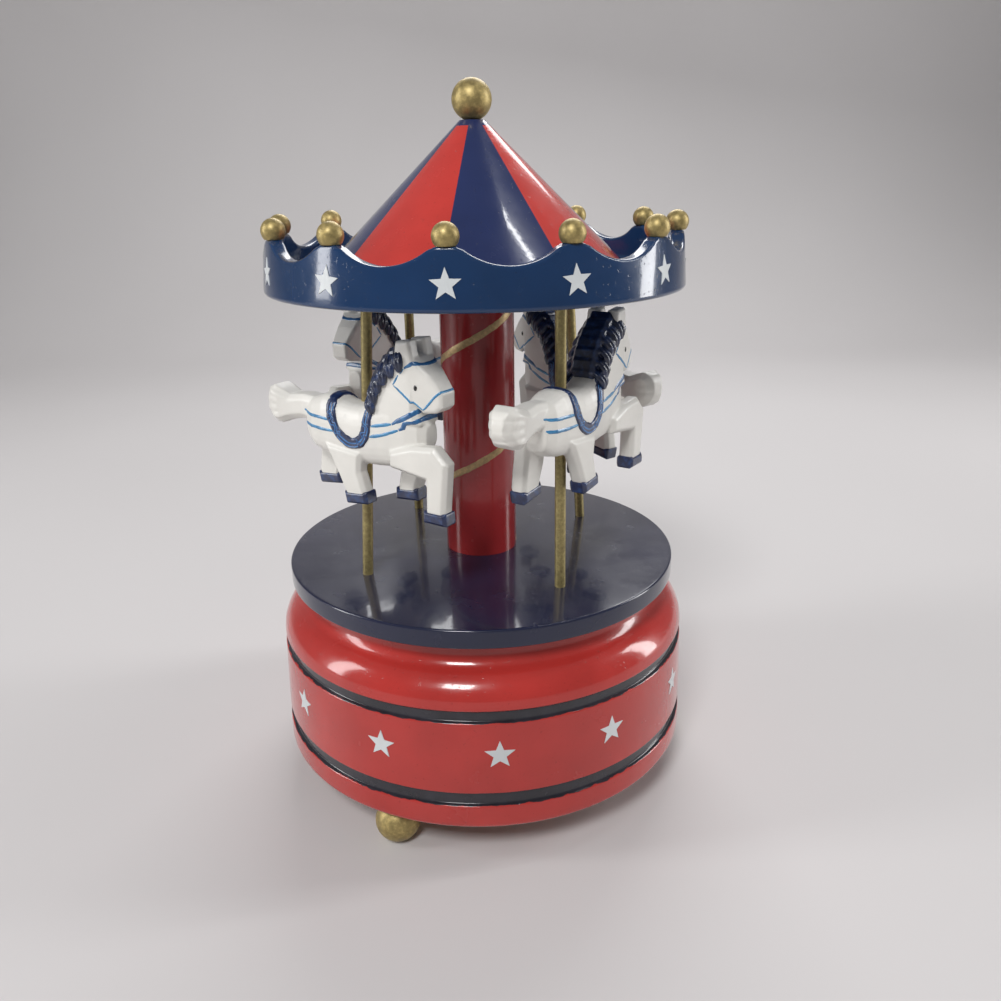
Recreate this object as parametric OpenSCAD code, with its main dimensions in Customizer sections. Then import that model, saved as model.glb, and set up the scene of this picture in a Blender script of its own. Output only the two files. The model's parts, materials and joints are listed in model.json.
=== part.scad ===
// Wind-up carousel music box.
// Origin: floor level, on the turning axis. +Z is up, -Y is the front.
// Angles named *_turn are measured about +Z, from the front (-Y) towards +X.

/* [Base] */
// Radius of the turned wooden base at its upper groove
base_r = 53.1; // [52.6:0.1:64]
// How much wider the base is at its foot
base_flare = 0.8; // [0:0.1:2]
// Rounding of the base's lower edge
foot_band_round = 1.6; // [0.6:0.1:2.4]
// Height of the plain band under the lower groove
foot_band_h = 6.1; // [4:0.1:9]
// Height of the lower painted groove
low_groove_h = 3.5; // [2:0.1:4.5]
// Height of the star band
star_band_h = 18; // [16:0.1:26]
// Height of the upper painted groove
top_groove_h = 2.8; // [1.5:0.1:4]
// Depth of the painted grooves
groove_d = 0.9; // [0.4:0.1:1.5]
// Radius of the convex shoulder over the upper groove
shoulder_r = 8.5; // [7:0.1:9]
// Sweep of the shoulder's arc before it turns into the cove
shoulder_sweep = 65; // [50:1:68]
// Radius of the hollow cove under the platform
cove_r = 4; // [2.5:0.1:4.2]
// Height of the straight neck over the cove
neck_h = 2.07; // [1:0.01:6]
// Radius of the chamber that holds the movement
chamber_r = 41.8; // [41.4:0.1:43]
// Thickness of the base's top plate
roof_t = 6; // [4:0.1:8]
// Depth of the finger recess under the bottom cover
recess_d = 6; // [4.5:0.1:8]
// Width of the ledge that the bottom cover is screwed to
ledge_w = 3.6; // [3:0.1:4]
// Thickness of the bottom cover
cover_t = 3; // [2:0.1:4]

/* [Feet] */
// Number of ball feet
foot_n = 3; // [3:1:3]
// Radius of a ball foot
foot_r = 5.5; // [5:0.1:7]
// Gap between the floor and the base
foot_gap = 10.3; // [9.5:0.1:11]
// Distance of the feet from the axis
foot_ring_r = 48; // [47.5:0.1:49]
// Turn of the first foot
foot_turn = -27; // [-60:1:60]
// Width of the flat under each foot
foot_flat_r = 1.5; // [1:0.1:2.5]

/* [Platform and column] */
// Radius of the turning platform
platform_r = 50; // [46:0.1:62]
// Thickness of the platform
platform_t = 4.6; // [4:0.1:7]
// Gap between the base and the platform
platform_gap = 0.7; // [0.4:0.1:2]
// Radius of the middle column
column_r = 9.15; // [7:0.05:12]
// Clear height between platform and crown
ride_h = 67.4; // [66:0.1:90]
// Depth of the sockets for poles and column
socket_d = 2; // [1.5:0.1:2.2]

/* [Crown] */
// Radius of the crown at its lower edge
crown_r = 50; // [46:0.1:62]
// Thickness of the crown's wall
crown_wall = 3.2; // [2.6:0.1:4.5]
// Thickness of the crown's floor
crown_floor = 3.5; // [3:0.1:5]
// Height of the crown wall at its peaks
peak_h = 12.4; // [11:0.1:16]
// Height of the crown wall in its valleys
valley_h = 8.7; // [8:0.1:10]
// How far the wall leans in over its height
crown_lean = 1; // [0.5:0.1:2]
// Number of peaks, beads and crown stars
peak_n = 12; // [12:1:12]
// Turn of the first peak
peak_turn = -6.7; // [-15:0.1:15]
// Radius of a crown bead
bead_r = 2.7; // [2:0.05:3.2]
// How deep a bead sits in its peak
bead_sink = 0.9; // [0.5:0.05:1.2]
// Height of the roof cone
cone_h = 33.3; // [24:0.1:45]
// Radius of the roof cone where it stands
cone_r = 37.2; // [28:0.1:38]
// Radius of the flat on top of the cone
cone_top_r = 2.9; // [2.4:0.1:4]
// Radius of the finial ball
finial_r = 4.6; // [3.5:0.1:6]

/* [Stars] */
// Number of stars on the base
star_n = 12; // [6:1:14]
// Turn of the first base star
star_turn = 3.2; // [-15:0.1:15]
// Radius of a star from its centre to a point
star_r = 4.1; // [3:0.1:4.3]
// Thickness of a star
star_t = 0.2; // [0.1:0.05:0.4]

/* [Horses and poles] */
// Number of horses
horse_n = 4; // [4:1:4]
// Distance of the pole feet from the axis
pole_ring_r = 33.8; // [31:0.1:36]
// Distance of the pole tops from the axis
pole_top_r = 30.6; // [28:0.1:36]
// Turn of the first pole
pole_turn = 33; // [0:1:89]
// How far each pole top is turned ahead of its foot
pole_twist = 4; // [0:0.1:5]
// Radius of a pole
pole_r = 1.28; // [1:0.02:1.5]
// How far each horse is turned in from the line of travel
horse_toe_in = 21.4; // [10:0.1:25]
// How far horse 2 is turned in
second_toe_in = 4; // [0:0.1:25]
// How far each horse's middle stands outside its pole
horse_offset = 2.3; // [1.5:0.1:3]
// Middle height of the horses above their own zero
horse_lift = 0.3; // [-1:0.1:2]
// How far the odd horses ride above that and the even ones below
horse_step = 1.7; // [0:0.1:3]

/* [Movement] */
// Tooth size of the barrel and its pinion, as a gear module
crown_mod = 0.5; // [0.48:0.01:0.52]
// Teeth on the spring barrel
barrel_teeth = 44; // [44:1:44]
// Teeth on the cylinder pinion
pinion_teeth = 11; // [11:1:11]
// Tooth size of the governor train, as a gear module
train_mod = 0.4; // [0.38:0.01:0.42]
// Teeth on the cylinder's end gear
end_gear_teeth = 36; // [36:1:36]
// Teeth on the governor pinion
gov_pinion_teeth = 12; // [12:1:12]
// Teeth on the worm wheel
worm_wheel_teeth = 24; // [24:1:24]
// Radius of the pinned cylinder
cyl_r = 6.2; // [5.8:0.1:6.4]
// Length of the pinned cylinder
cyl_len = 16; // [15:0.1:16.2]
// Number of notes on the comb
note_n = 18; // [12:1:18]
// Height of the tune pins over the cylinder
pin_h = 0.55; // [0.4:0.05:0.7]
// Height of the spring barrel without its teeth
barrel_h = 10.2; // [9:0.1:10.6]
// Radius of the winding arbor
arbor_r = 2; // [1.6:0.1:2.4]
// Radius of the output shaft that turns the carousel
output_r = 2; // [1.6:0.1:2.4]

/* [Fits] */
// Radial clearance of a turning shaft in its bearing
run_clear = 0.05; // [0.02:0.01:0.08]
// Radial clearance of a glued pin in its socket
glue_clear = 0.04; // [0.02:0.01:0.1]
// Clearance between pieces that must not touch
free_clear = 0.5; // [0.35:0.05:0.8]

/* [Hidden] */
$fn = 96;
cut = 0.5; // overshoot of cutting bodies

// levels, from the floor up
base_z = foot_gap;
low_groove_z = base_z + foot_band_h;
band_z = low_groove_z + low_groove_h;
top_groove_z = band_z + star_band_h;
shoulder_z = top_groove_z + top_groove_h;
shoulder_x = base_r - shoulder_r;
cove_x = shoulder_x + (shoulder_r + cove_r) * cos(shoulder_sweep);
cove_z = shoulder_z + (shoulder_r + cove_r) * sin(shoulder_sweep);
base_top = cove_z + neck_h;
platform_z = base_top + platform_gap;
platform_top = platform_z + platform_t;
crown_z = platform_top + ride_h;
cone_z = crown_z + crown_floor;
cone_top = cone_z + cone_h;
cover_z = base_z + recess_d;
cover_top = cover_z + cover_t;
ledge_r = chamber_r + ledge_w;
chamber_top = base_top - roof_t;
star_z = band_z + 0.56 * star_band_h;
crown_star_z = crown_z + 5.5;

// movement levels and places; the pinned cylinder lies along +X
bed_t = 2.5;
bed_top = cover_top + bed_t;
bed_r = chamber_r - 0.8;
barrel_z = bed_top + free_clear;
barrel_top = barrel_z + barrel_h;
crown_pitch_r = crown_mod * barrel_teeth / 2;
barrel_r = crown_pitch_r + 1;
barrel_wall = 1;
tooth_h = 2.1 * crown_mod;
pinion_pitch_r = crown_mod * pinion_teeth / 2;
axis_z = barrel_top + tooth_h - 0.9 * crown_mod + pinion_pitch_r;
pinion_x0 = crown_pitch_r - 1;
pinion_x1 = crown_pitch_r + 0.8;
inner_bearing_x = barrel_r + 0.6;
bearing_t = 1.6;
cyl_x = inner_bearing_x + bearing_t + 0.8;
outer_bearing_x = cyl_x + cyl_len + 0.8;
gear_t = 1.4;
end_gear_x = outer_bearing_x + bearing_t + 0.6;
end_gear_r = train_mod * end_gear_teeth / 2;
gov_pinion_r = train_mod * gov_pinion_teeth / 2;
gov_y = end_gear_r + gov_pinion_r;
worm_wheel_x = end_gear_x - 0.4 - gear_t;
worm_wheel_r = train_mod * worm_wheel_teeth / 2;
worm_core = 0.85;
worm_throw = 0.35;
worm_lead = PI * train_mod;
worm_x = worm_wheel_x + gear_t / 2;
worm_y = gov_y + worm_wheel_r + worm_core;
cyl_arbor_r = 1;
gov_arbor_r = 0.7;
fly_shaft_r = 0.55;
gov_wall_t = 1;
gov_wall_x = worm_wheel_x - 0.8 - gov_wall_t;
gov_wall2_x = end_gear_x + gear_t + 0.8;
fly_foot_z = axis_z - 5.6;
fly_head_z = axis_z + 4;
fly_arm_t = 1.3;
comb_t = 1;
comb_gap = 0.15;
comb_tip_y = -(cyl_r + pin_h + comb_gap);
comb_back_y = comb_tip_y - 15;
comb_rail_y = comb_tip_y - 8;
bridge_z = axis_z + 1.2;
bridge_t = 1.8;
bridge_half = 17;
post_r = 2.4;
hub_boss_r = 4.6;
hub_flange_r = 12;
hub_flange_t = 2;
hub_head_t = 0.9;
hub_z = bridge_z + bridge_t + 2;
bush_r = 7.5;
spring_turns = 5;
spring_t = 0.35;
key_boss_r = 3.2;
arbor_drop = 7; // how far the winding arbor reaches below the cover
screw_r = 1;
small_screw_r = 0.8;
wood_screw_len = 7;

// pins and tenons that are glued into sockets
foot_pin_r = 1.4;
foot_pin_len = 5;
tenon_r = 5;
bead_pin_r = 0.7;
bead_pin_len = 2.6;
bead_ring_r = crown_r - crown_lean - crown_wall / 2;
cone_pin_r = 3;
cone_pin_len = 1.2;
finial_pin_r = 1.2;
finial_pin_len = 3.6;
pole_len = norm([pole_ring_r - pole_top_r * cos(pole_twist), pole_top_r * sin(pole_twist), ride_h]);
horse_seat = 45.3; // height of the saddle in a horse's own frame
lean = crown_lean / peak_h; // lean of the crown's wall per unit of height

function turned(r, a, z) = [r * sin(a), -r * cos(a), z];
function star_points(r) = [
    for (i = [0:9]) let (q = i % 2 == 0 ? r : 0.42 * r) [q * sin(36 * i), q * cos(36 * i)]
];
function gear_points(n, m, thin = 1) = [
    for (i = [0:n - 1])
        for (k = [[-0.29, -1.2], [-0.12, 0.9], [0.12, 0.9], [0.29, -1.2]])
            let (a = 360 / n * (i + k[0] * thin), r = m * (n / 2 + k[1])) [r * cos(a), r * sin(a)]
];

module at_turn(r, a, z = 0) {
    translate(turned(r, a, z)) rotate([0, 0, a]) children();
}
module along_x(x) {
    translate([x, 0, 0]) rotate([90, 0, 90]) children();
}
module ring(r_out, r_in, h) {
    difference() {
        cylinder(r = r_out, h = h);
        translate([0, 0, -cut]) cylinder(r = r_in, h = h + 2 * cut);
    }
}
module screw(len, r, head_r, head_h) {
    cylinder(r = r, h = len);
    translate([0, 0, -head_h]) difference() {
        cylinder(r = head_r, h = head_h);
        translate([-head_r, -0.3, -cut]) cube([2 * head_r, 0.6, cut + 0.5 * head_h]);
    }
}

// ---------------------------------------------------------------- base
function arc(cx, cz, r, from, to, n = 14) = [
    for (i = [0:n]) let (a = from + (to - from) * i / n) [cx + r * cos(a), cz + r * sin(a)]
];
function wall_r(z) = base_r + base_flare * (top_groove_z - z) / (top_groove_z - base_z);
module base_outline() {
    polygon(concat(
        [[0, base_z], [wall_r(base_z) - foot_band_round, base_z]],
        arc(wall_r(base_z) - foot_band_round, base_z + foot_band_round, foot_band_round, -80, 0, 6),
        [[wall_r(low_groove_z), low_groove_z], [wall_r(low_groove_z) - groove_d, low_groove_z]],
        [[wall_r(band_z) - groove_d, band_z], [wall_r(band_z), band_z]],
        [[base_r, top_groove_z], [base_r - groove_d, top_groove_z]],
        [[base_r - groove_d, shoulder_z]],
        arc(shoulder_x, shoulder_z, shoulder_r, 0, shoulder_sweep),
        arc(cove_x, cove_z, cove_r, 180 + shoulder_sweep - 6, 180, 8),
        [[cove_x - cove_r, base_top], [0, base_top]]));
}
module base_body() {
    color([0.72, 0.22, 0.2]) difference() {
        rotate_extrude() base_outline();
        translate([0, 0, base_z - cut]) cylinder(r = ledge_r, h = recess_d + cover_t + cut);
        translate([0, 0, cover_top - cut]) cylinder(r = chamber_r, h = chamber_top - cover_top + cut);
        translate([0, 0, chamber_top - cut]) cylinder(r = bush_r + glue_clear, h = roof_t + 2 * cut);
        for (i = [0:foot_n - 1]) at_turn(foot_ring_r, foot_turn + 360 / foot_n * i, base_z - cut)
            cylinder(r = foot_pin_r + glue_clear, h = foot_pin_len + cut);
        cover_screw_places() translate([0, 0, cover_t - cut])
            cylinder(r = screw_r + glue_clear, h = wood_screw_len - cover_t + 1 + cut);
    }
}
// Stars laid on a coned wall whose radius is r_low and r_high over the height h about z
module star_ring(n, first, z, r_low, r_high, h) {
    for (i = [0:n - 1]) at_turn(0, first + 360 / n * i, z) intersection() {
        rotate([90, 0, 0]) linear_extrude(r_low + 2) polygon(star_points(star_r));
        rotate([0, 0, 90]) translate([0, 0, -h / 2]) difference() {
            cylinder(r1 = r_low + star_t, r2 = r_high + star_t, h = h);
            cylinder(r1 = r_low, r2 = r_high, h = h);
        }
    }
}
module base_stars() {
    h = 2 * star_r + 0.4;
    r_low = wall_r(star_z - h / 2);
    r_high = wall_r(star_z + h / 2);
    color([0.8, 0.82, 0.83]) star_ring(star_n, star_turn, star_z, r_low, r_high, h);
}
module foot(i) {
    color([0.62, 0.55, 0.3]) at_turn(foot_ring_r, foot_turn + 360 / foot_n * (i - 1)) {
        foot_c = sqrt(foot_r * foot_r - foot_flat_r * foot_flat_r);
        intersection() {
            translate([0, 0, foot_c]) sphere(r = foot_r);
            cylinder(r = 2 * foot_r, h = foot_gap);
        }
        translate([0, 0, foot_gap - 1]) cylinder(r = foot_pin_r, h = foot_pin_len);
    }
}
module cover_screw_places() {
    for (i = [0:3]) at_turn(chamber_r + ledge_w / 2, 18 + 90 * i, cover_z) children();
}
module movement_screw_places() {
    for (p = [[-13, -14], [-13, 14], [26, -19], [22, 17]]) translate([p[0], p[1], cover_z]) children();
}
module bottom_cover() {
    color([0.75, 0.6, 0.42]) difference() {
        translate([0, 0, cover_z]) cylinder(r = ledge_r - free_clear / 2, h = cover_t);
        translate([0, 0, cover_z - cut]) cylinder(r = 5, h = cover_t + 2 * cut);
        cover_screw_places() translate([0, 0, -cut])
            cylinder(r = screw_r + glue_clear, h = cover_t + 2 * cut);
        movement_screw_places() translate([0, 0, -cut])
            cylinder(r = screw_r + glue_clear, h = cover_t + 2 * cut);
    }
}
module cover_screws() {
    color("silver") cover_screw_places() screw(wood_screw_len, screw_r, 1.6, 1);
}
module movement_screws() {
    color("silver") movement_screw_places() screw(cover_t + bed_t - 0.4, screw_r, 2, 1.1);
}
module top_bush() {
    color([0.93, 0.93, 0.9]) translate([0, 0, chamber_top]) {
        ring(bush_r, hub_boss_r + run_clear, roof_t);
        translate([0, 0, -1.2]) ring(bush_r + 2, hub_boss_r + run_clear, 1.2);
    }
}

// ---------------------------------------------------------------- movement, fixed pieces
module bedplate() {
    color([0.7, 0.7, 0.68]) difference() {
        union() {
            intersection() {
                translate([-barrel_r - 7, -22, cover_top]) cube([barrel_r + 7 + bed_r, 42, bed_t]);
                translate([0, 0, cover_top]) cylinder(r = bed_r, h = bed_t);
            }
            translate([cyl_x, comb_back_y, bed_top - cut])
                cube([cyl_len, comb_rail_y - comb_back_y, axis_z - comb_t - bed_top + cut]);
        }
        translate([0, 0, cover_top - cut]) cylinder(r = arbor_r + run_clear, h = bed_t + 2 * cut);
        movement_screw_places() translate([0, 0, cover_t - cut])
            cylinder(r = screw_r + glue_clear, h = bed_t + cut - 0.2);
        comb_screw_places() translate([0, 0, -6]) cylinder(r = screw_r + glue_clear, h = 6 + cut);
        bridge_screw_places() translate([0, 0, bed_top - bridge_z - 1.5])
            cylinder(r = small_screw_r + glue_clear, h = 3);
    }
}
module comb_screw_places() {
    for (s = [0.25, 0.75])
        translate([cyl_x + s * cyl_len, comb_back_y + 3.4, axis_z - comb_t]) children();
}
module comb() {
    tooth_w = (cyl_len - 1) / note_n;
    slot_w = 0.24;
    color([0.78, 0.79, 0.8]) difference() {
        translate([cyl_x + 0.2, comb_back_y, axis_z - comb_t])
            cube([cyl_len - 0.4, comb_tip_y - comb_back_y, comb_t]);
        for (i = [0:note_n])
            translate([cyl_x + 0.5 + i * tooth_w, comb_tip_y - 7.5 + 0.12 * i, axis_z - 2 * comb_t])
                translate([-slot_w / 2, 0, 0]) cube([slot_w, 9, 3 * comb_t]);
        comb_screw_places() translate([0, 0, -cut]) cylinder(r = screw_r + glue_clear, h = comb_t + 2 * cut);
    }
}
module comb_screws() {
    color("silver") comb_screw_places() translate([0, 0, comb_t]) rotate([180, 0, 0])
        screw(5, screw_r, 1.9, 1.1);
}
module bearing(x) {
    color([0.8, 0.68, 0.35]) difference() {
        union() {
            translate([x, -3, bed_top]) cube([bearing_t, 6, axis_z - bed_top]);
            translate([0, 0, axis_z]) along_x(x) cylinder(r = 3, h = bearing_t);
        }
        translate([0, 0, axis_z]) along_x(x - cut)
            cylinder(r = cyl_arbor_r + run_clear, h = bearing_t + 2 * cut);
    }
}
module bearing_inner() {
    bearing(inner_bearing_x);
}
module bearing_outer() {
    bearing(outer_bearing_x);
}
module bridge_screw_places() {
    for (s = [-1, 1]) translate([0, s * bridge_half, bridge_z]) children();
}
module barrel_bridge() {
    color([0.8, 0.68, 0.35]) difference() {
        union() {
            translate([-4.5, -bridge_half, bridge_z]) cube([9, 2 * bridge_half, bridge_t]);
            bridge_screw_places() translate([0, 0, bed_top - bridge_z])
                cylinder(r = post_r, h = bridge_z + bridge_t - bed_top);
        }
        translate([0, 0, bridge_z - cut]) cylinder(r = output_r + run_clear, h = bridge_t + 2 * cut);
        bridge_screw_places() translate([0, 0, bed_top - bridge_z - cut])
            cylinder(r = small_screw_r + glue_clear, h = bridge_z + bridge_t - bed_top + 2 * cut);
    }
}
module bridge_screws() {
    color("silver") bridge_screw_places() translate([0, 0, bridge_t]) rotate([180, 0, 0])
        screw(bridge_z + bridge_t - bed_top + 1.2, small_screw_r, 1.7, 1);
}
module governor_frame() {
    front_y = gov_y - 1.8;
    strip_w = 4.2;
    strip_t = 1.4;
    fly_wall_w = worm_y + 2.4 - front_y;
    fly_wall_h = fly_head_z + fly_arm_t - bed_top;
    color([0.8, 0.68, 0.35]) difference() {
        union() {
            translate([gov_wall_x, front_y, bed_top]) cube([gov_wall_t, fly_wall_w, fly_wall_h]);
            translate([gov_wall2_x, front_y, bed_top]) cube([gov_wall_t, strip_w, axis_z + 2.4 - bed_top]);
            translate([gov_wall_x, front_y, bed_top])
                cube([gov_wall2_x + gov_wall_t - gov_wall_x, strip_w, strip_t]);
            for (z = [fly_foot_z - fly_arm_t, fly_head_z]) translate([gov_wall_x, worm_y - 1.6, z])
                cube([worm_x + 2 - gov_wall_x, 4, fly_arm_t]);
        }
        translate([0, gov_y, axis_z]) along_x(gov_wall_x - cut) cylinder(r = gov_arbor_r + run_clear, h = 20);
        translate([worm_x, worm_y, fly_foot_z - fly_arm_t - cut])
            cylinder(r = fly_shaft_r + run_clear, h = 20);
    }
}
module clutch_spring() {
    color("silver") for (i = [0:3]) translate([0, 0, cover_z + 0.45 + 0.62 * i])
        rotate_extrude() translate([arbor_r + 0.6, 0]) circle(r = 0.35);
}

// ---------------------------------------------------------------- movement, turning pieces
module spring_barrel() {
    foot_w = 0.29 * PI * crown_mod;
    tip_w = 0.12 * PI * crown_mod;
    color([0.82, 0.7, 0.36]) difference() {
        union() {
            translate([0, 0, barrel_z]) cylinder(r = barrel_r, h = barrel_h);
            for (i = [0:barrel_teeth - 1]) rotate([0, 0, 360 / barrel_teeth * i])
                translate([0, 0, barrel_top]) along_x(barrel_r - 2.2) linear_extrude(2.1) polygon([
                    [-foot_w, -cut], [foot_w, -cut], [foot_w, 0], [tip_w, tooth_h],
                    [-tip_w, tooth_h], [-foot_w, 0]]);
        }
        translate([0, 0, barrel_z - cut])
            cylinder(r = barrel_r - barrel_wall, h = barrel_h - barrel_wall + cut);
        translate([0, 0, barrel_top - 2 * barrel_wall]) cylinder(r = output_r, h = 5);
    }
}
module barrel_lid() {
    color([0.82, 0.7, 0.36]) translate([0, 0, barrel_z]) ring(barrel_r - barrel_wall, arbor_r + run_clear, 1);
}
module mainspring() {
    steps = 28 * spring_turns;
    r0 = arbor_r + 1;
    r1 = barrel_r - barrel_wall - spring_t - 0.1;
    spiral = [for (i = [0:steps]) [r0 + (r1 - r0) * i / steps, 360 * spring_turns * i / steps]];
    inner_edge = [for (p = spiral) [p[0] * cos(p[1]), p[0] * sin(p[1])]];
    outer_edge = [
        for (i = [steps:-1:0]) let (p = spiral[i], q = p[0] + spring_t) [q * cos(p[1]), q * sin(p[1])]
    ];
    color([0.35, 0.37, 0.42]) translate([0, 0, barrel_z + 1.4])
        linear_extrude(barrel_h - 2.8 - barrel_wall) polygon(concat(inner_edge, outer_edge));
}
module output_shaft() {
    color("silver") translate([0, 0, barrel_top - barrel_wall])
        cylinder(r = output_r, h = platform_z + 1 - barrel_top + barrel_wall);
}
module music_cylinder() {
    pin_w = 0.3;
    color([0.82, 0.72, 0.4]) translate([0, 0, axis_z]) {
        along_x(cyl_x) ring(cyl_r, cyl_r - 0.6, cyl_len);
        for (x = [cyl_x, cyl_x + cyl_len - 1]) along_x(x) ring(cyl_r - 0.3, cyl_arbor_r, 1);
        for (row = [0:note_n - 1])
            for (k = [0:2]) rotate([137.5 * row + 120 * k + 35 * sin(71 * row + 50 * k), 0, 0])
                translate([cyl_x + 0.5 + (row + 0.5) * (cyl_len - 1) / note_n, 0, cyl_r - pin_w])
                    translate([-pin_w / 2, -pin_w / 2, 0]) cube([pin_w, pin_w, pin_h + pin_w]);
    }
}
module cylinder_arbor() {
    color("silver") translate([0, 0, axis_z]) {
        along_x(pinion_x0 - 0.4)
            cylinder(r = cyl_arbor_r, h = end_gear_x + gear_t + 0.6 - pinion_x0 + 0.4);
        along_x(pinion_x0) rotate([0, 0, 180 / pinion_teeth - 90])
            linear_extrude(pinion_x1 - pinion_x0) polygon(gear_points(pinion_teeth, crown_mod));
    }
}
module end_gear() {
    color([0.82, 0.72, 0.4]) translate([0, 0, axis_z]) along_x(end_gear_x) difference() {
        linear_extrude(gear_t) polygon(gear_points(end_gear_teeth, train_mod));
        translate([0, 0, -cut]) cylinder(r = cyl_arbor_r, h = gear_t + 2 * cut);
    }
}
module governor_arbor() {
    color("silver") translate([0, gov_y, axis_z]) {
        along_x(gov_wall_x - 0.4)
            cylinder(r = gov_arbor_r, h = gov_wall2_x + gov_wall_t - gov_wall_x + 0.8);
        along_x(end_gear_x) rotate([0, 0, 180 + 180 / gov_pinion_teeth]) linear_extrude(gear_t)
            polygon(gear_points(gov_pinion_teeth, train_mod));
    }
}
module worm_wheel() {
    color([0.93, 0.93, 0.9]) translate([0, gov_y, axis_z]) along_x(worm_wheel_x) difference() {
        linear_extrude(gear_t) polygon(gear_points(worm_wheel_teeth, train_mod * 0.97, 0.8));
        translate([0, 0, -cut]) cylinder(r = gov_arbor_r, h = gear_t + 2 * cut);
    }
}
module worm_shaft() {
    turns = 3;
    sides = 12;
    color("silver") translate([worm_x, worm_y, 0]) {
        translate([0, 0, fly_foot_z - fly_arm_t])
            cylinder(r = fly_shaft_r, h = chamber_top - 1.2 - fly_foot_z + fly_arm_t);
        translate([0, 0, axis_z - worm_lead * turns / 2])
            linear_extrude(worm_lead * turns, twist = -360 * turns, slices = sides * turns, segments = sides)
                translate([0, -worm_throw]) circle(r = worm_core, $fn = sides);
    }
}
module air_brake() {
    vane_z = fly_head_z + fly_arm_t + 0.8;
    color([0.85, 0.85, 0.85]) translate([worm_x, worm_y, vane_z]) difference() {
        union() {
            cylinder(r = 1.1, h = chamber_top - 1.6 - vane_z);
            translate([-4.2, -0.25, 0.3]) cube([8.4, 0.5, chamber_top - 2.2 - vane_z]);
        }
        translate([0, 0, -cut]) cylinder(r = fly_shaft_r, h = 12);
    }
}
module winding_arbor() {
    color("silver") translate([0, 0, cover_z - arbor_drop])
        cylinder(r = arbor_r, h = barrel_top - barrel_wall - 0.8 - cover_z + arbor_drop);
}
module winding_key() {
    wing_r = 4.6;
    wing_t = 1.6;
    boss_h = 9.2;
    key_top = cover_z - free_clear;
    wing_z = key_top - 8.6;
    color([0.78, 0.78, 0.76]) difference() {
        union() {
            translate([0, 0, key_top - boss_h]) cylinder(r = key_boss_r, h = boss_h);
            for (s = [-1, 1]) translate([s * 7.4, wing_t / 2, wing_z]) rotate([90, 0, 0])
                cylinder(r = wing_r, h = wing_t);
        }
        translate([0, 0, cover_z - arbor_drop]) cylinder(r = arbor_r, h = arbor_drop + 1);
        for (s = [-1, 1]) translate([s * 8, wing_t, wing_z]) rotate([90, 0, 0])
            cylinder(r = 2, h = 2 * wing_t);
    }
}

// ---------------------------------------------------------------- carousel
module drive_hub() {
    color([0.8, 0.8, 0.78]) difference() {
        union() {
            translate([0, 0, platform_z]) cylinder(r = hub_flange_r, h = hub_flange_t);
            translate([0, 0, hub_z]) cylinder(r = hub_boss_r, h = platform_z + cut - hub_z);
        }
        translate([0, 0, hub_z - cut]) cylinder(r = output_r, h = platform_z + 1 - hub_z + cut);
        hub_screw_places() {
            translate([0, 0, -cut]) cylinder(r = small_screw_r + glue_clear, h = hub_flange_t + 2 * cut);
            translate([0, 0, -cut]) cylinder(r = 1.6, h = hub_head_t + cut);
        }
    }
}
module hub_screw_places() {
    for (i = [0:2]) at_turn(9, 60 + 120 * i, platform_z) children();
}
module hub_screws() {
    color("silver") hub_screw_places() translate([0, 0, hub_head_t])
        screw(hub_flange_t + 0.8, small_screw_r, 1.5, hub_head_t - 0.05);
}
function pole_angle(i) = pole_turn + 360 / horse_n * (i - 1);
function pole_low(i) = turned(pole_ring_r, pole_angle(i), platform_top);
function pole_high(i) = turned(pole_top_r, pole_angle(i) + pole_twist, crown_z);
// Places its children on a leaning pole, Z along the pole from the platform's top.
module along_pole(i) {
    run = pole_high(i) - pole_low(i);
    translate(pole_low(i)) rotate([0, acos(run[2] / norm(run)), atan2(run[1], run[0])]) children();
}
module platform() {
    color([0.13, 0.15, 0.24]) difference() {
        rotate_extrude() translate([0, platform_z]) polygon([
            [0, 0], [platform_r - 0.4, 0], [platform_r, 0.4],
            [platform_r, platform_t - 0.5], [platform_r - 0.5, platform_t], [0, platform_t]]);
        translate([0, 0, platform_z - cut]) cylinder(r = hub_flange_r + glue_clear, h = hub_flange_t + cut);
        hub_screw_places() cylinder(r = small_screw_r + glue_clear, h = hub_flange_t + 2);
        translate([0, 0, platform_top - socket_d]) cylinder(r = tenon_r + glue_clear, h = socket_d + cut);
        for (i = [1:horse_n]) along_pole(i) translate([0, 0, -socket_d])
            cylinder(r = pole_r + glue_clear, h = socket_d + 1);
    }
}
module column() {
    color([0.5, 0.16, 0.17]) {
        translate([0, 0, platform_top]) cylinder(r = column_r, h = ride_h);
        translate([0, 0, platform_top - socket_d]) cylinder(r = tenon_r, h = ride_h + 2 * socket_d);
    }
}
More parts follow.
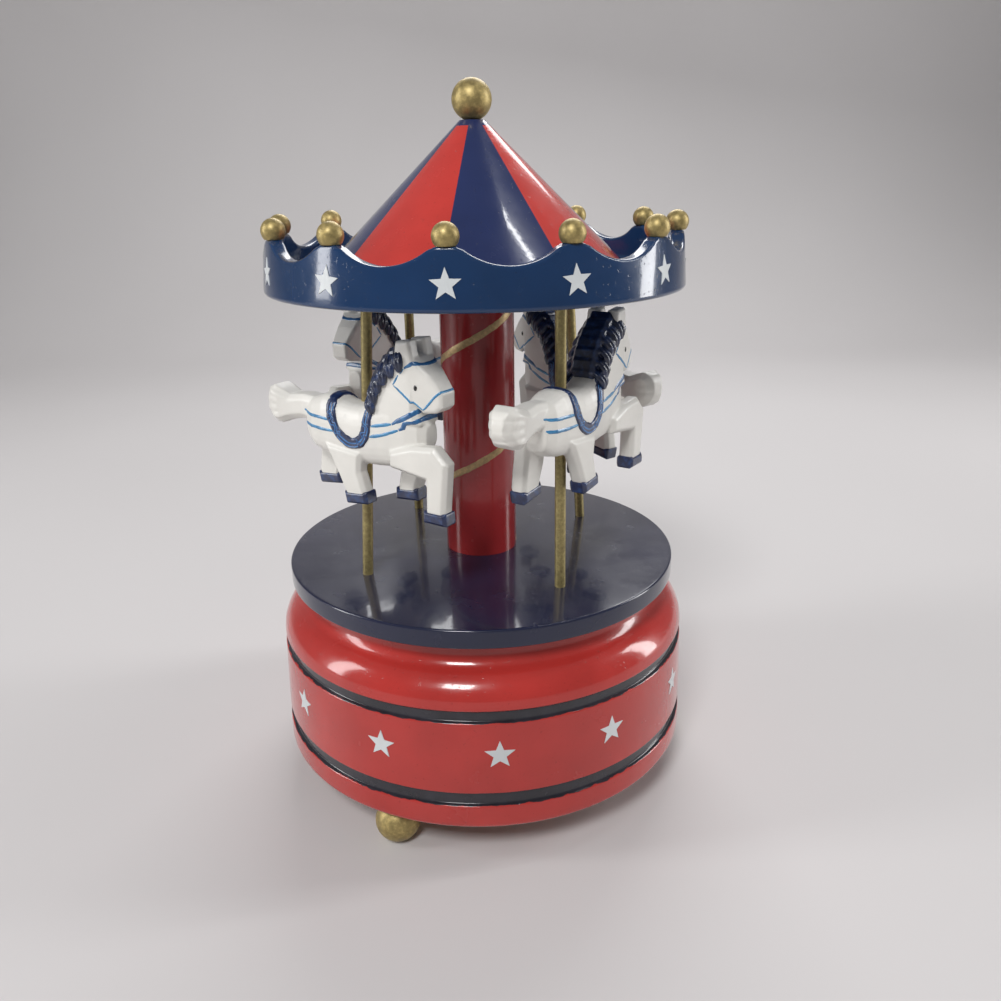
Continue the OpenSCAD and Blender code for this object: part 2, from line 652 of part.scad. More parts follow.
module crown() {
    half_gap = PI * crown_r / peak_n - bead_r;
    scoop = peak_h - valley_h;
    scoop_r = (half_gap * half_gap + scoop * scoop) / (2 * scoop);
    color([0.12, 0.22, 0.4]) difference() {
        rotate_extrude() translate([0, crown_z]) polygon([
            [0, 0], [crown_r - 0.6, 0], [crown_r - 0.6 * lean, 0.6], [crown_r - crown_lean, peak_h],
            [crown_r - crown_lean - crown_wall, peak_h],
            [crown_r - crown_wall - 0.6, crown_floor], [0, crown_floor]]);
        for (i = [0:peak_n - 1])
            at_turn(0, peak_turn + 360 / peak_n * (i + 0.5), crown_z + valley_h + scoop_r)
                rotate([90, 0, 0]) translate([0, 0, crown_r - crown_wall - 4])
                    cylinder(r = scoop_r, h = crown_wall + 8);
        for (i = [0:peak_n - 1]) bead_place(i) translate([0, 0, -bead_pin_len - 0.4])
            cylinder(r = bead_pin_r + glue_clear, h = bead_pin_len + 1.4);
        for (i = [1:horse_n]) along_pole(i) translate([0, 0, pole_len - 1])
            cylinder(r = pole_r + glue_clear, h = socket_d + 1);
        translate([0, 0, crown_z - cut]) cylinder(r = tenon_r + glue_clear, h = socket_d + cut);
        translate([0, 0, cone_z - cone_pin_len - 0.2])
            cylinder(r = cone_pin_r + glue_clear, h = cone_pin_len + 0.2 + cut);
    }
}
module bead_place(i) {
    at_turn(bead_ring_r, peak_turn + 360 / peak_n * i, crown_z + peak_h) children();
}
module bead(i) {
    color([0.66, 0.6, 0.35]) bead_place(i - 1) {
        intersection() {
            translate([0, 0, bead_r - bead_sink]) sphere(r = bead_r);
            cylinder(r = 2 * bead_r, h = 3 * bead_r);
        }
        translate([0, 0, -bead_pin_len]) cylinder(r = bead_pin_r, h = bead_pin_len + 0.8);
    }
}
module crown_stars() {
    h = 2 * star_r + 0.4;
    r_low = crown_r - lean * (crown_star_z - h / 2 - crown_z);
    color([0.8, 0.82, 0.83]) star_ring(peak_n, peak_turn, crown_star_z, r_low, r_low - lean * h, h);
}
module roof_cone() {
    color([0.75, 0.25, 0.22]) difference() {
        union() {
            translate([0, 0, cone_z]) cylinder(r1 = cone_r, r2 = cone_top_r, h = cone_h);
            translate([0, 0, cone_z - cone_pin_len]) cylinder(r = cone_pin_r, h = cone_pin_len + 0.8);
        }
        translate([0, 0, cone_top - finial_pin_len - 0.4])
            cylinder(r = finial_pin_r + glue_clear, h = finial_pin_len + 1.4);
    }
}
module finial() {
    flat_r = 1.6;
    finial_c = sqrt(finial_r * finial_r - flat_r * flat_r);
    color([0.6, 0.52, 0.32]) translate([0, 0, cone_top]) {
        intersection() {
            translate([0, 0, finial_c]) sphere(r = finial_r);
            cylinder(r = 2 * finial_r, h = 3 * finial_r);
        }
        translate([0, 0, -finial_pin_len]) cylinder(r = finial_pin_r, h = finial_pin_len + 1);
    }
}
module pole(i) {
    color([0.55, 0.49, 0.3]) along_pole(i) translate([0, 0, -socket_d])
        cylinder(r = pole_r, h = pole_len + 2 * socket_d);
}

// ---------------------------------------------------------------- horses
// A horse faces +X in its own frame, with its middle plane at Y = 0; its outer side is -Y.
function toe_in(i) = i == 2 ? second_toe_in : horse_toe_in;
function horse_rise(i) = horse_lift + horse_step * (i % 2 == 1 ? 1 : -1);
module side_cut(outline, from, to) {
    translate([0, -from, 0]) rotate([90, 0, 0]) linear_extrude(to - from) polygon(outline);
}
module top_cut(outline) {
    linear_extrude(80) polygon(outline);
}
module front_cut(half, low, high, corner) {
    translate([-40, 0, 0]) rotate([90, 0, 90]) linear_extrude(80) polygon([
        [-half + corner, low], [half - corner, low], [half, low + corner], [half, high - corner],
        [half - corner, high], [-half + corner, high], [-half, high - corner], [-half, low + corner]]);
}
module horse_torso() {
    intersection() {
        side_cut([
            [-15.4, 39.3], [-14.4, 43.6], [-11, 45.9], [-7.4, 47.1], [-5, 46.6], [-2, 45.2], [3, 45.4],
            [6.6, 47.7], [16, 47.4], [19.6, 44.4], [21, 41], [20.4, 36.6], [18, 33.4], [12, 32],
            [4, 31.4], [-6, 31.8], [-12.4, 33], [-15, 35.6]], -5.6, 5.6);
        top_cut([
            [-15.4, -1.6], [-12, -5.6], [16, -5.6], [21, -2.4], [21, 2.4], [16, 5.6], [-12, 5.6],
            [-15.4, 1.6]]);
        front_cut(5.6, 30.6, 48.6, 2.2);
    }
}
module horse_head() {
    intersection() {
        side_cut([[4.5, 45], [8, 52.4], [12, 58.4], [15, 59.4], [19.2, 57.6], [22.6, 54.4], [25.8, 50],
            [25.4, 47], [24, 46.2], [21, 46], [19.8, 47.4], [20.6, 43.6], [12, 41]], -4.5, 4.5);
        top_cut([
            [3, -4.4], [14, -4.3], [19, -4], [26, -2.4], [26, 2.4], [19, 4], [14, 4.3], [3, 4.4]]);
    }
    for (s = [-4, 1.2])
        side_cut([[14.2, 58], [15.2, 61], [18.8, 61.2], [20.2, 57]], s, s + 2.8);
}
module horse_tail() {
    intersection() {
        side_cut([[-13, 39.6], [-17, 39.4], [-20.8, 38.8], [-24, 37.6], [-27.4, 38.8], [-28.8, 41.6],
            [-28.2, 45], [-26, 46.8], [-23.4, 46.4], [-20.8, 45.4], [-16, 45.6], [-13, 45]], -5, 5);
        top_cut([[-12, -3.2], [-19, -2.8], [-24, -3.6], [-27, -3], [-28.8, -1.4], [-28.8, 1.4], [-27, 3],
            [-24, 3.6], [-19, 2.8], [-12, 3.2]]);
    }
}
module horse_mane() {
    for (i = [0:5]) translate([5.2 + 1.7 * i, 0, 47 + 2.3 * i]) rotate([0, -35 - 3 * i, 0])
        let (half = 4.7 - 0.12 * i)
            side_cut([[-1.6, -1.2], [1.6, -1.6], [2.2, 0.8], [0.4, 2.2], [-1.4, 1.4]], -half, half);
}
module horse_legs() {
    hind_outer = [
        [-8, 36], [3.4, 35], [2.6, 30], [4.4, 25.2], [4.6, 22.6], [-1.4, 22], [-2.4, 24.6], [-3.8, 28.6]];
    hind_inner = [
        [-14.8, 38], [-7, 35], [-8.4, 30], [-10, 26], [-9.8, 23.4], [-16, 22.6], [-17, 25], [-16.6, 29.4]];
    front_outer = [
        [12, 38], [23, 42], [27.6, 38], [28.4, 35.4], [27.2, 25], [27.4, 21.8], [21.6, 21.8], [22, 25],
        [22.2, 31.6], [12, 32.6]];
    front_inner = [
        [9, 37], [18, 37], [15.6, 30], [14.2, 26], [14.2, 23.4], [8.2, 22.8], [8.4, 25.4], [9.4, 30]];
    for (leg = [hind_outer, front_outer]) side_cut(leg, 1.4, 5.4);
    for (leg = [hind_inner, front_inner]) side_cut(leg, -5.4, -1.4);
}
module horse(i) {
    spot = pole_low(i) + (pole_high(i) - pole_low(i)) * (horse_seat + horse_rise(i)) / ride_h;
    color([0.87, 0.86, 0.82]) difference() {
        translate([spot[0], spot[1], platform_top + horse_rise(i)])
            rotate([0, 0, pole_angle(i) + toe_in(i)]) translate([0, -horse_offset, 0]) {
                horse_torso();
                horse_head();
                horse_tail();
                horse_mane();
                horse_legs();
            }
        along_pole(i) cylinder(r = pole_r + glue_clear, h = pole_len);
    }
}

base_body();
base_stars();
bottom_cover();
cover_screws();
for (i = [1:3]) foot(i);
bedplate();
movement_screws();
comb();
comb_screws();
bearing_inner();
bearing_outer();
barrel_bridge();
bridge_screws();
governor_frame();
clutch_spring();
top_bush();
spring_barrel();
barrel_lid();
mainspring();
output_shaft();
drive_hub();
hub_screws();
platform();
column();
crown();
crown_stars();
roof_cone();
finial();
for (i = [1:12]) bead(i);
for (i = [1:4]) pole(i);
for (i = [1:4]) horse(i);
music_cylinder();
cylinder_arbor();
end_gear();
governor_arbor();
worm_wheel();
worm_shaft();
air_brake();
winding_arbor();
winding_key();
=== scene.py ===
"""Looks of the wind-up carousel music box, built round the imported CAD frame."""
import functools
import json
import math
import random

import bmesh
import bpy
from mathutils import Matrix, Vector
from mathutils.bvhtree import BVHTree


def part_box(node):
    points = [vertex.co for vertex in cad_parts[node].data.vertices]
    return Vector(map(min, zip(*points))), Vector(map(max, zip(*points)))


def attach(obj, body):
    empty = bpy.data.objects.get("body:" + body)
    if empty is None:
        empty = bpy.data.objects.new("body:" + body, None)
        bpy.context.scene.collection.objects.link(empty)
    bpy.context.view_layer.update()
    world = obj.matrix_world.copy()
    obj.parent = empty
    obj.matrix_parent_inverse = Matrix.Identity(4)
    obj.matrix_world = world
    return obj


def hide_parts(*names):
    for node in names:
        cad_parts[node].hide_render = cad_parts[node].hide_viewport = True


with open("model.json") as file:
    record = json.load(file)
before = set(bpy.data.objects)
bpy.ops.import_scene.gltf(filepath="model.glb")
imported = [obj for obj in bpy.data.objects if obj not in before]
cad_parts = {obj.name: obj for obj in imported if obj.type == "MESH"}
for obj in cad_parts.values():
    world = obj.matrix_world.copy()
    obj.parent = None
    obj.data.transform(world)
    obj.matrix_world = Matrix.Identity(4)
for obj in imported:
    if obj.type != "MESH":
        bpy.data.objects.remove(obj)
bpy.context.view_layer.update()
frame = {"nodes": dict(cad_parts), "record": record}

MM = 0.001
TURN = math.tau

# ---------------------------------------------------------------- sizes read from the frame, in mm


@functools.lru_cache(maxsize=None)
def span(node):
    """Lowest and highest corner of a CAD node, in millimetres."""
    low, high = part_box(node)
    return Vector(low) / MM, Vector(high) / MM


def reach(node):
    """Largest radius of a turned CAD node about the main axis."""
    low, high = span(node)
    return (high.x - low.x) / 2


BASE_Z, BASE_TOP = (corner.z for corner in span("base_body"))
PLATFORM_Z, PLATFORM_TOP = (corner.z for corner in span("platform"))
CROWN_Z, CROWN_PEAK = (corner.z for corner in span("crown"))
CONE_TOP = span("roof_cone")[1].z
COVER_TOP = span("bottom_cover")[1].z
BUSH_TOP = span("top_bush")[1].z


def polar(node):
    """Turn (degrees from the front, towards +X) and radius of a CAD node's middle."""
    low, high = span(node)
    x, y = (low.x + high.x) / 2, (low.y + high.y) / 2
    return math.degrees(math.atan2(x, -y)), math.hypot(x, y)


PEAK_TURN = polar("bead_1")[0]
PEAKS = 12
HORSES = 4

# profile values shared with the CAD model, in mm
BASE_R = 53.1
BASE_FLARE = 0.8
FOOT_BAND = 6.1
LOW_GROOVE = 3.5
STAR_BAND = 18.0
TOP_GROOVE = 2.8
GROOVE_D = 0.9
SHOULDER_R = 8.5
SHOULDER_SWEEP = 65
COVE_R = 4.0
COVER_GAP = 0.25
LEDGE = 3.6
CEILING_T = 6
TOP_HOLE_R = 7.55
FOOT_FLAT_R = 1.5
LOW_GROOVE_Z = BASE_Z + FOOT_BAND
BAND_Z = LOW_GROOVE_Z + LOW_GROOVE
TOP_GROOVE_Z = BAND_Z + STAR_BAND
SHOULDER_Z = TOP_GROOVE_Z + TOP_GROOVE
CROWN_WALL = 3.2
CROWN_LEAN = 1.0
CROWN_FLOOR = 3.5
VALLEY_H = 8.7
CONE_TOP_R = 2.9
BEAD_R = 2.7
BEAD_SINK = 0.9
FINIAL_FLAT_R = 1.6

# painted stars, in mm and degrees
CROWN_STAR_R = 3.3
CROWN_STAR_Z = CROWN_Z + 5.5
BASE_STARS = 12
BASE_STAR_R = 3.65
BASE_STAR_Z = BAND_Z + 0.56 * STAR_BAND
BASE_STAR_TURN = 3.2


# ---------------------------------------------------------------- mesh helpers


def add_mesh(name, verts, faces, materials, body, replaced=(), face_slots=None, smooth=40):
    """A piece in mm coordinates of the frame, riding on a body."""
    mesh = bpy.data.meshes.new(name)
    mesh.from_pydata([tuple(c * MM for c in v) for v in verts], [], faces)
    for material in materials:
        mesh.materials.append(material)
    if face_slots:
        mesh.polygons.foreach_set("material_index", face_slots)
    return add_piece(name, mesh, body, replaced, smooth)


def add_piece(name, mesh, body, replaced=(), smooth=40, place=None):
    """Links a mesh as a piece of the object, with its body, finish and the CAD nodes it stands for."""
    mesh.validate()
    piece = bpy.data.objects.new(name, mesh)
    bpy.context.scene.collection.objects.link(piece)
    if place is not None:
        piece.matrix_world = place
    mesh.shade_smooth()
    mesh.set_sharp_from_angle(angle=math.radians(smooth))
    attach(piece, body)
    if replaced:
        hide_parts(*replaced)
    return piece


def arc(cx, cz, r, start, end, steps=10):
    """Points of an arc in the profile plane, angles in degrees."""
    turns = [math.radians(start + (end - start) * i / steps) for i in range(steps + 1)]
    return [(cx + r * math.cos(t), cz + r * math.sin(t)) for t in turns]


def rounded(points, radii, steps=6):
    """A closed outline with each corner rounded by its own radius."""
    out = []
    n = len(points)
    for i, (point, radius) in enumerate(zip(points, radii)):
        here = Vector(point)
        before = (Vector(points[i - 1]) - here)
        after = (Vector(points[(i + 1) % n]) - here)
        if radius <= 0:
            out.append(tuple(here))
            continue
        half = before.angle(after) / 2
        cut = min(radius / math.tan(half), 0.49 * before.length, 0.49 * after.length)
        a, b = here + before.normalized() * cut, here + after.normalized() * cut
        for k in range(steps + 1):
            t = k / steps
            out.append(tuple(a * (1 - t) ** 2 + here * 2 * t * (1 - t) + b * t * t))
    return out


def lathe(profile, segments, closed=True, first=0.0):
    """Turns a profile of (radius, height) about the main axis. Returns verts and faces."""
    on_axis = 1e-6
    verts, faces = [], []
    rows = len(profile)
    for s in range(segments):
        a = TURN * s / segments + math.radians(first)
        verts += [(r * math.sin(a), -r * math.cos(a), z) for r, z in profile]
    for s in range(segments):
        t = (s + 1) % segments
        for k in range(rows if closed else rows - 1):
            m = (k + 1) % rows
            if profile[k][0] < on_axis and profile[m][0] < on_axis:
                continue
            faces.append((s * rows + k, t * rows + k, t * rows + m, s * rows + m))
    return verts, faces


def weld(mesh, distance=0.002):
    """Joins doubled points, such as those on the axis, and turns normals outwards."""
    bm = bmesh.new()
    bm.from_mesh(mesh)
    bmesh.ops.remove_doubles(bm, verts=bm.verts, dist=distance * MM)
    bmesh.ops.recalc_face_normals(bm, faces=bm.faces)
    bm.to_mesh(mesh)
    bm.free()


def turned_piece(name, profile, materials, body, replaced, segments):
    verts, faces = lathe(profile, segments)
    piece = add_mesh(name, verts, faces, materials, body, replaced, smooth=35)
    weld(piece.data)
    return piece


def around(r, turn, z):
    """A point at a radius, a turn from the front towards +X in degrees, and a height."""
    a = math.radians(turn)
    return Vector((r * math.sin(a), -r * math.cos(a), z))


# ---------------------------------------------------------------- material helpers


class Paint:
    """A node material under construction, with its Principled shader ready."""

    def __init__(self, name, **sockets):
        self.material = bpy.data.materials.new(name)
        self.material.use_nodes = True
        self.tree = self.material.node_tree
        self.shader = self.tree.nodes["Principled BSDF"]
        for key, value in sockets.items():
            socket = key.replace("_", " ").title().replace("Ior", "IOR")
            self.shader.inputs[socket].default_value = value
        self.coords = self.tree.nodes.new("ShaderNodeTexCoord").outputs["Object"]

    def node(self, kind, inputs=(), **settings):
        made = self.tree.nodes.new(kind)
        for key, value in settings.items():
            setattr(made, key, value)
        for key, value in dict(inputs).items():
            if isinstance(value, bpy.types.NodeSocket):
                self.tree.links.new(value, made.inputs[key])
            else:
                made.inputs[key].default_value = value
        return made

    def noise(self, scale, detail=4.0, roughness=0.5, vector=None):
        """Noise value; scale is in cells per metre."""
        inputs = {
            "Vector": vector or self.coords, "Scale": scale, "Detail": detail, "Roughness": roughness}
        return self.node("ShaderNodeTexNoise", inputs).outputs["Fac"]

    def math(self, operation, a, b=0.0):
        return self.node("ShaderNodeMath", {0: a, 1: b}, operation=operation).outputs[0]

    def ramp(self, fac, stops):
        """Maps a value to colours; stops are (position, colour)."""
        made = self.node("ShaderNodeValToRGB", {"Fac": fac})
        marks = made.color_ramp.elements
        while len(marks) < len(stops):
            marks.new(0.5)
        for mark, (position, colour) in zip(marks, stops):
            mark.position = position
            mark.color = (*colour, 1)
        return made.outputs["Color"]

    def span(self, value, low, high, to_low=0.0, to_high=1.0):
        """Maps low..high to to_low..to_high and holds the value beyond them."""
        inputs = {"Value": value, "From Min": low, "From Max": high, "To Min": to_low, "To Max": to_high}
        return self.node("ShaderNodeMapRange", inputs).outputs["Result"]

    def mix(self, fac, a, b):
        """Mixes two colours, each a socket or a triple."""
        a, b = (c if isinstance(c, bpy.types.NodeSocket) else (*c, 1) for c in (a, b))
        return self.node("ShaderNodeMix", {0: fac, 6: a, 7: b}, data_type="RGBA").outputs[2]

    def colour(self, socket):
        self.tree.links.new(socket, self.shader.inputs["Base Color"])

    def rough(self, socket):
        self.tree.links.new(socket, self.shader.inputs["Roughness"])

    def bump(self, *layers):
        """Layers of (height, depth in mm); each lies on the one before."""
        normal = None
        for height, depth in layers:
            inputs = {"Height": height, "Distance": depth * MM, "Strength": 1.0}
            if normal:
                inputs["Normal"] = normal
            normal = self.node("ShaderNodeBump", inputs).outputs["Normal"]
        self.tree.links.new(normal, self.shader.inputs["Normal"])
        self.tree.links.new(normal, self.shader.inputs["Coat Normal"])


def tint(colour, factor):
    return tuple(min(1.0, c * factor) for c in colour)


def lacquer_layers(paint, colour, mottle=0.12):
    """Colour with faint mottling and fine dust pits, as brushed lacquer on wood has; the orange peel comes
    later, in finish_lacquer.
    """
    cloud = paint.noise(60, 5)
    speck = paint.span(paint.noise(1500, 2), 0.66, 0.74)
    base = paint.ramp(cloud, [(0.3, tint(colour, 1 - mottle)), (0.7, tint(colour, 1 + mottle))])
    return paint.mix(paint.math("MULTIPLY", speck, 0.35), base, tint(colour, 0.45)), speck


def finish_lacquer(paint, speck, peel=0.012):
    """Orange peel, faint turning marks and dust pits, with roughness that varies a little."""
    peel_noise = paint.noise(420, 3)
    wave = paint.noise(70, 2)
    paint.bump((wave, 0.05), (peel_noise, peel), (speck, -0.02))
    paint.rough(paint.span(paint.noise(160, 4), 0.3, 0.75, 0.16, 0.3))


def lacquer(name, colour, mottle=0.12, peel=0.012, coat=0.7):
    paint = Paint(name, Specular_IOR_Level=0.3, Coat_Weight=coat, Coat_Roughness=0.07, Coat_IOR=1.45)
    base, speck = lacquer_layers(paint, colour, mottle)
    paint.colour(base)
    finish_lacquer(paint, speck, peel)
    return paint.material


def base_lacquer(name, colour, groove):
    """Red lacquer whose grooves are painted dark grey, with slightly ragged brush edges."""
    paint = Paint(name, Specular_IOR_Level=0.3, Coat_Weight=0.7, Coat_Roughness=0.07, Coat_IOR=1.45)
    base, speck = lacquer_layers(paint, colour)
    height = paint.node("ShaderNodeSeparateXYZ", {0: paint.coords}).outputs["Z"]
    ragged = paint.span(paint.noise(380, 3), 0.3, 0.7, -0.16 * MM, 0.16 * MM)
    level = paint.math("ADD", height, ragged)
    mask = None
    for low, tall in ((LOW_GROOVE_Z, LOW_GROOVE), (TOP_GROOVE_Z, TOP_GROOVE)):
        middle = (low + tall / 2) * MM
        away = paint.math("ABSOLUTE", paint.math("SUBTRACT", level, middle))
        here = paint.span(away, (tall / 2 + 0.03) * MM, (tall / 2 - 0.05) * MM)
        mask = here if mask is None else paint.math("MAXIMUM", mask, here)
    dark = paint.ramp(paint.noise(250, 4), [(0.3, tint(groove, 0.75)), (0.7, tint(groove, 1.3))])
    paint.colour(paint.mix(mask, base, dark))
    finish_lacquer(paint, speck)
    return paint.material


def gold_paint(name, colour, grain=900, dark=0.35):
    """Metallic paint with visible flake, brown patches where it is thin, and a grainy surface."""
    paint = Paint(name, Metallic=0.7, Coat_Weight=0.12, Coat_Roughness=0.3)
    flake = paint.noise(grain, 3, 0.7)
    patch = paint.noise(170, 5, 0.6)
    bright = paint.ramp(flake, [(0.3, tint(colour, 0.72)), (0.52, colour), (0.72, tint(colour, 1.45))])
    thin = paint.span(patch, 0.56, 0.74, 0.0, dark)
    brown = tuple(c * share for c, share in zip(colour, (0.42, 0.36, 0.4)))
    paint.colour(paint.mix(thin, bright, brown))
    paint.rough(paint.span(flake, 0.3, 0.7, 0.4, 0.58))
    paint.bump((patch, 0.06), (flake, 0.03))
    return paint.material


def enamel(name, colour, light, gloss=0.28):
    """Hand-brushed enamel, thicker and darker in places, with brush ridges."""
    paint = Paint(name, Coat_Weight=0.6, Coat_Roughness=0.18)
    stroke = paint.noise(700, 4, 0.6)
    paint.colour(paint.ramp(stroke, [(0.28, tint(colour, 0.7)), (0.5, colour), (0.78, light)]))
    paint.rough(paint.span(stroke, 0.3, 0.7, gloss, gloss + 0.16))
    paint.bump((stroke, 0.05))
    return paint.material


def horse_white(name, colour):
    """Satin off-white paint over carved wood: brush drag, faint grime and tiny chips."""
    paint = Paint(name, Coat_Weight=0.35, Coat_Roughness=0.3)
    cloud = paint.noise(120, 5)
    grime = paint.span(paint.noise(420, 5, 0.65), 0.62, 0.8)
    drag = paint.node("ShaderNodeMapping", {"Vector": paint.coords, "Scale": (1.0, 3.0, 4.0)}).outputs[0]
    brush = paint.noise(420, 3, 0.5, drag)
    base = paint.ramp(cloud, [(0.3, tint(colour, 0.93)), (0.7, tint(colour, 1.03))])
    paint.colour(paint.mix(paint.math("MULTIPLY", grime, 0.25), base, tint(colour, 0.62)))
    paint.rough(paint.span(brush, 0.3, 0.7, 0.34, 0.5))
    paint.bump((cloud, 0.08), (brush, 0.025))
    return paint.material


def metal(name, colour, rough=0.3, brush=(1.0, 1.0, 1.0), scale=900):
    paint = Paint(name, Metallic=1.0)
    lay = paint.node("ShaderNodeMapping", {"Vector": paint.coords, "Scale": brush}).outputs[0]
    grain = paint.noise(scale, 4, 0.6, lay)
    cloud = paint.noise(150, 4)
    paint.colour(paint.ramp(cloud, [(0.3, tint(colour, 0.82)), (0.7, tint(colour, 1.1))]))
    paint.rough(paint.span(grain, 0.3, 0.7, rough - 0.08, rough + 0.12))
    paint.bump((grain, 0.012))
    return paint.material


def plastic(name, colour):
    paint = Paint(name)
    cloud = paint.noise(90, 4)
    paint.colour(paint.ramp(cloud, [(0.3, tint(colour, 0.93)), (0.7, tint(colour, 1.02))]))
    paint.rough(paint.span(paint.noise(600, 3), 0.3, 0.7, 0.36, 0.5))
    paint.bump((paint.noise(900, 2), 0.01))
    return paint.material


def plain_wood(name, colour):
    """Thin board with grain along X."""
    paint = Paint(name)
    lay = paint.node("ShaderNodeMapping", {"Vector": paint.coords, "Scale": (0.06, 1.0, 1.0)}).outputs[0]
    rings = paint.noise(520, 6, 0.65, lay)
    paint.colour(paint.ramp(rings, [(0.3, tint(colour, 0.6)), (0.5, colour), (0.72, tint(colour, 1.25))]))
    paint.rough(paint.span(rings, 0.3, 0.7, 0.55, 0.75))
    paint.bump((rings, 0.06))
    return paint.material


RED = (0.45, 0.034, 0.028)
ROOF_RED = (0.55, 0.045, 0.036)
COLUMN_RED = (0.3, 0.022, 0.024)
NAVY = (0.008, 0.035, 0.105)
ROOF_NAVY = (0.018, 0.03, 0.105)
MIDNIGHT = (0.013, 0.016, 0.042)
GROOVE_GREY = (0.022, 0.021, 0.028)
GOLD = (0.4, 0.31, 0.125)
POLE_GOLD = (0.35, 0.285, 0.125)
STRIPE_GOLD = (0.46, 0.33, 0.17)
STAR_WHITE = (0.66, 0.69, 0.7)
HORSE_WHITE = (0.76, 0.74, 0.69)

red = base_lacquer("red_lacquer", RED, GROOVE_GREY)
roof_red = lacquer("roof_red_lacquer", ROOF_RED)
roof_navy = lacquer("roof_navy_lacquer", ROOF_NAVY)
column_red = lacquer("column_lacquer", COLUMN_RED, mottle=0.2, coat=0.4)
navy = lacquer("crown_lacquer", NAVY)
midnight = lacquer("platform_lacquer", MIDNIGHT, peel=0.008)
gold = gold_paint("gold_paint", GOLD)
pole_gold = gold_paint("pole_gold_paint", POLE_GOLD, grain=1300, dark=0.7)
stripe_gold = gold_paint("stripe_gold_paint", STRIPE_GOLD, grain=1200, dark=0.6)
star_white = plastic("star_paint", STAR_WHITE)
white = horse_white("horse_paint", HORSE_WHITE)
hoof_navy = enamel("hoof_enamel", (0.012, 0.02, 0.07), (0.02, 0.07, 0.22))
mane_navy = enamel("mane_enamel", (0.006, 0.013, 0.045), (0.016, 0.05, 0.17))
trim_navy = enamel("trim_navy_enamel", (0.008, 0.02, 0.075), (0.014, 0.05, 0.17))
trim_blue = enamel("trim_blue_enamel", (0.035, 0.16, 0.42), (0.07, 0.27, 0.55))
strap_blue = enamel("strap_blue_enamel", (0.025, 0.2, 0.42), (0.08, 0.34, 0.58))
chest_blue = enamel("chest_blue_enamel", (0.012, 0.1, 0.27), (0.04, 0.22, 0.45))
eye_black = enamel("eye_enamel", (0.012, 0.01, 0.009), (0.03, 0.025, 0.02), gloss=0.15)

# ---------------------------------------------------------------- base, feet, platform, column


def wall_r(z):
    """Outer radius of the base's wall, which widens a little towards the floor."""
    return BASE_R + BASE_FLARE * (TOP_GROOVE_Z - z) / (TOP_GROOVE_Z - BASE_Z)


def make_base():
    """The turned base with softened edges, its grooves, shoulder and cove, and its hollow inside."""
    soft = 0.35
    ease_in, overlap = 0.3, 4
    recess_r = reach("bottom_cover") + COVER_GAP
    chamber_r = recess_r - LEDGE
    ceiling = BUSH_TOP - CEILING_T
    shoulder_x = BASE_R - SHOULDER_R
    sweep = math.radians(SHOULDER_SWEEP)
    cove_x = shoulder_x + (SHOULDER_R + COVE_R) * math.cos(sweep)
    cove_z = SHOULDER_Z + (SHOULDER_R + COVE_R) * math.sin(sweep)
    low = [
        (recess_r, BASE_Z), (wall_r(BASE_Z), BASE_Z),
        (wall_r(LOW_GROOVE_Z), LOW_GROOVE_Z), (wall_r(LOW_GROOVE_Z) - GROOVE_D, LOW_GROOVE_Z + soft),
        (wall_r(BAND_Z) - GROOVE_D, BAND_Z - soft), (wall_r(BAND_Z), BAND_Z),
        (BASE_R, TOP_GROOVE_Z), (BASE_R - GROOVE_D, TOP_GROOVE_Z + soft),
        (BASE_R - GROOVE_D, SHOULDER_Z - 0.2), (BASE_R - 0.1, SHOULDER_Z + 0.4),
        (shoulder_x + SHOULDER_R * math.cos(ease_in), SHOULDER_Z + SHOULDER_R * math.sin(ease_in)),
    ]
    wall = rounded(low, [0.6, 1.6, 0.5, 0.4, 0.4, 0.5, 0.5, 0.4, 0.3, 0.6, 0])
    arc_start = math.degrees(ease_in) + overlap
    wall += arc(shoulder_x, SHOULDER_Z, SHOULDER_R, arc_start, SHOULDER_SWEEP, 14)[:-1]
    wall += arc(cove_x, cove_z, COVE_R, 180 + SHOULDER_SWEEP, 180, 10)
    inside = rounded(
        [(cove_x - COVE_R, BASE_TOP), (TOP_HOLE_R, BASE_TOP), (TOP_HOLE_R, ceiling),
         (chamber_r, ceiling), (chamber_r, COVER_TOP), (recess_r, COVER_TOP)],
        [0.5, 0.3, 0.2, 0.5, 0.2, 0.2])
    turned_piece("base_shell", wall + inside, [red], "base", ["base_body"], 256)


def ball(r, flat_low=None, flat_high=None, steps=28):
    """Profile of a ball about z = 0, cut flat below and above where asked."""
    low = -math.sqrt(r * r - flat_low ** 2) if flat_low else -r
    high = math.sqrt(r * r - flat_high ** 2) if flat_high else r
    points = [(0.0, low)]
    for i in range(steps + 1):
        z = low + (high - low) * (1 - math.cos(math.pi * i / steps)) / 2
        points.append((math.sqrt(max(r * r - z * z, 0)), z))
    points.append((0.0, high))
    return points


def ball_piece(name, profile, centre, material, body, replaced, segments=48):
    verts, faces = lathe(profile, segments, closed=False)
    verts = [(x + centre.x, y + centre.y, z + centre.z) for x, y, z in verts]
    piece = add_mesh(name, verts, faces, [material], body, replaced, smooth=50)
    weld(piece.data)
    return piece


def make_feet():
    """Balls cut flat where they stand and where they meet the base."""
    for i in (1, 2, 3):
        low, high = span(f"foot_{i}")
        r = (high.x - low.x) / 2
        rest_z = math.sqrt(r * r - FOOT_FLAT_R ** 2)
        centre = Vector(((low.x + high.x) / 2, (low.y + high.y) / 2, rest_z))
        flat_high = math.sqrt(r * r - (BASE_Z - rest_z) ** 2)
        profile = ball(r, flat_low=FOOT_FLAT_R, flat_high=flat_high)
        ball_piece(f"foot_ball_{i}", profile, centre, gold, "base", [f"foot_{i}"])


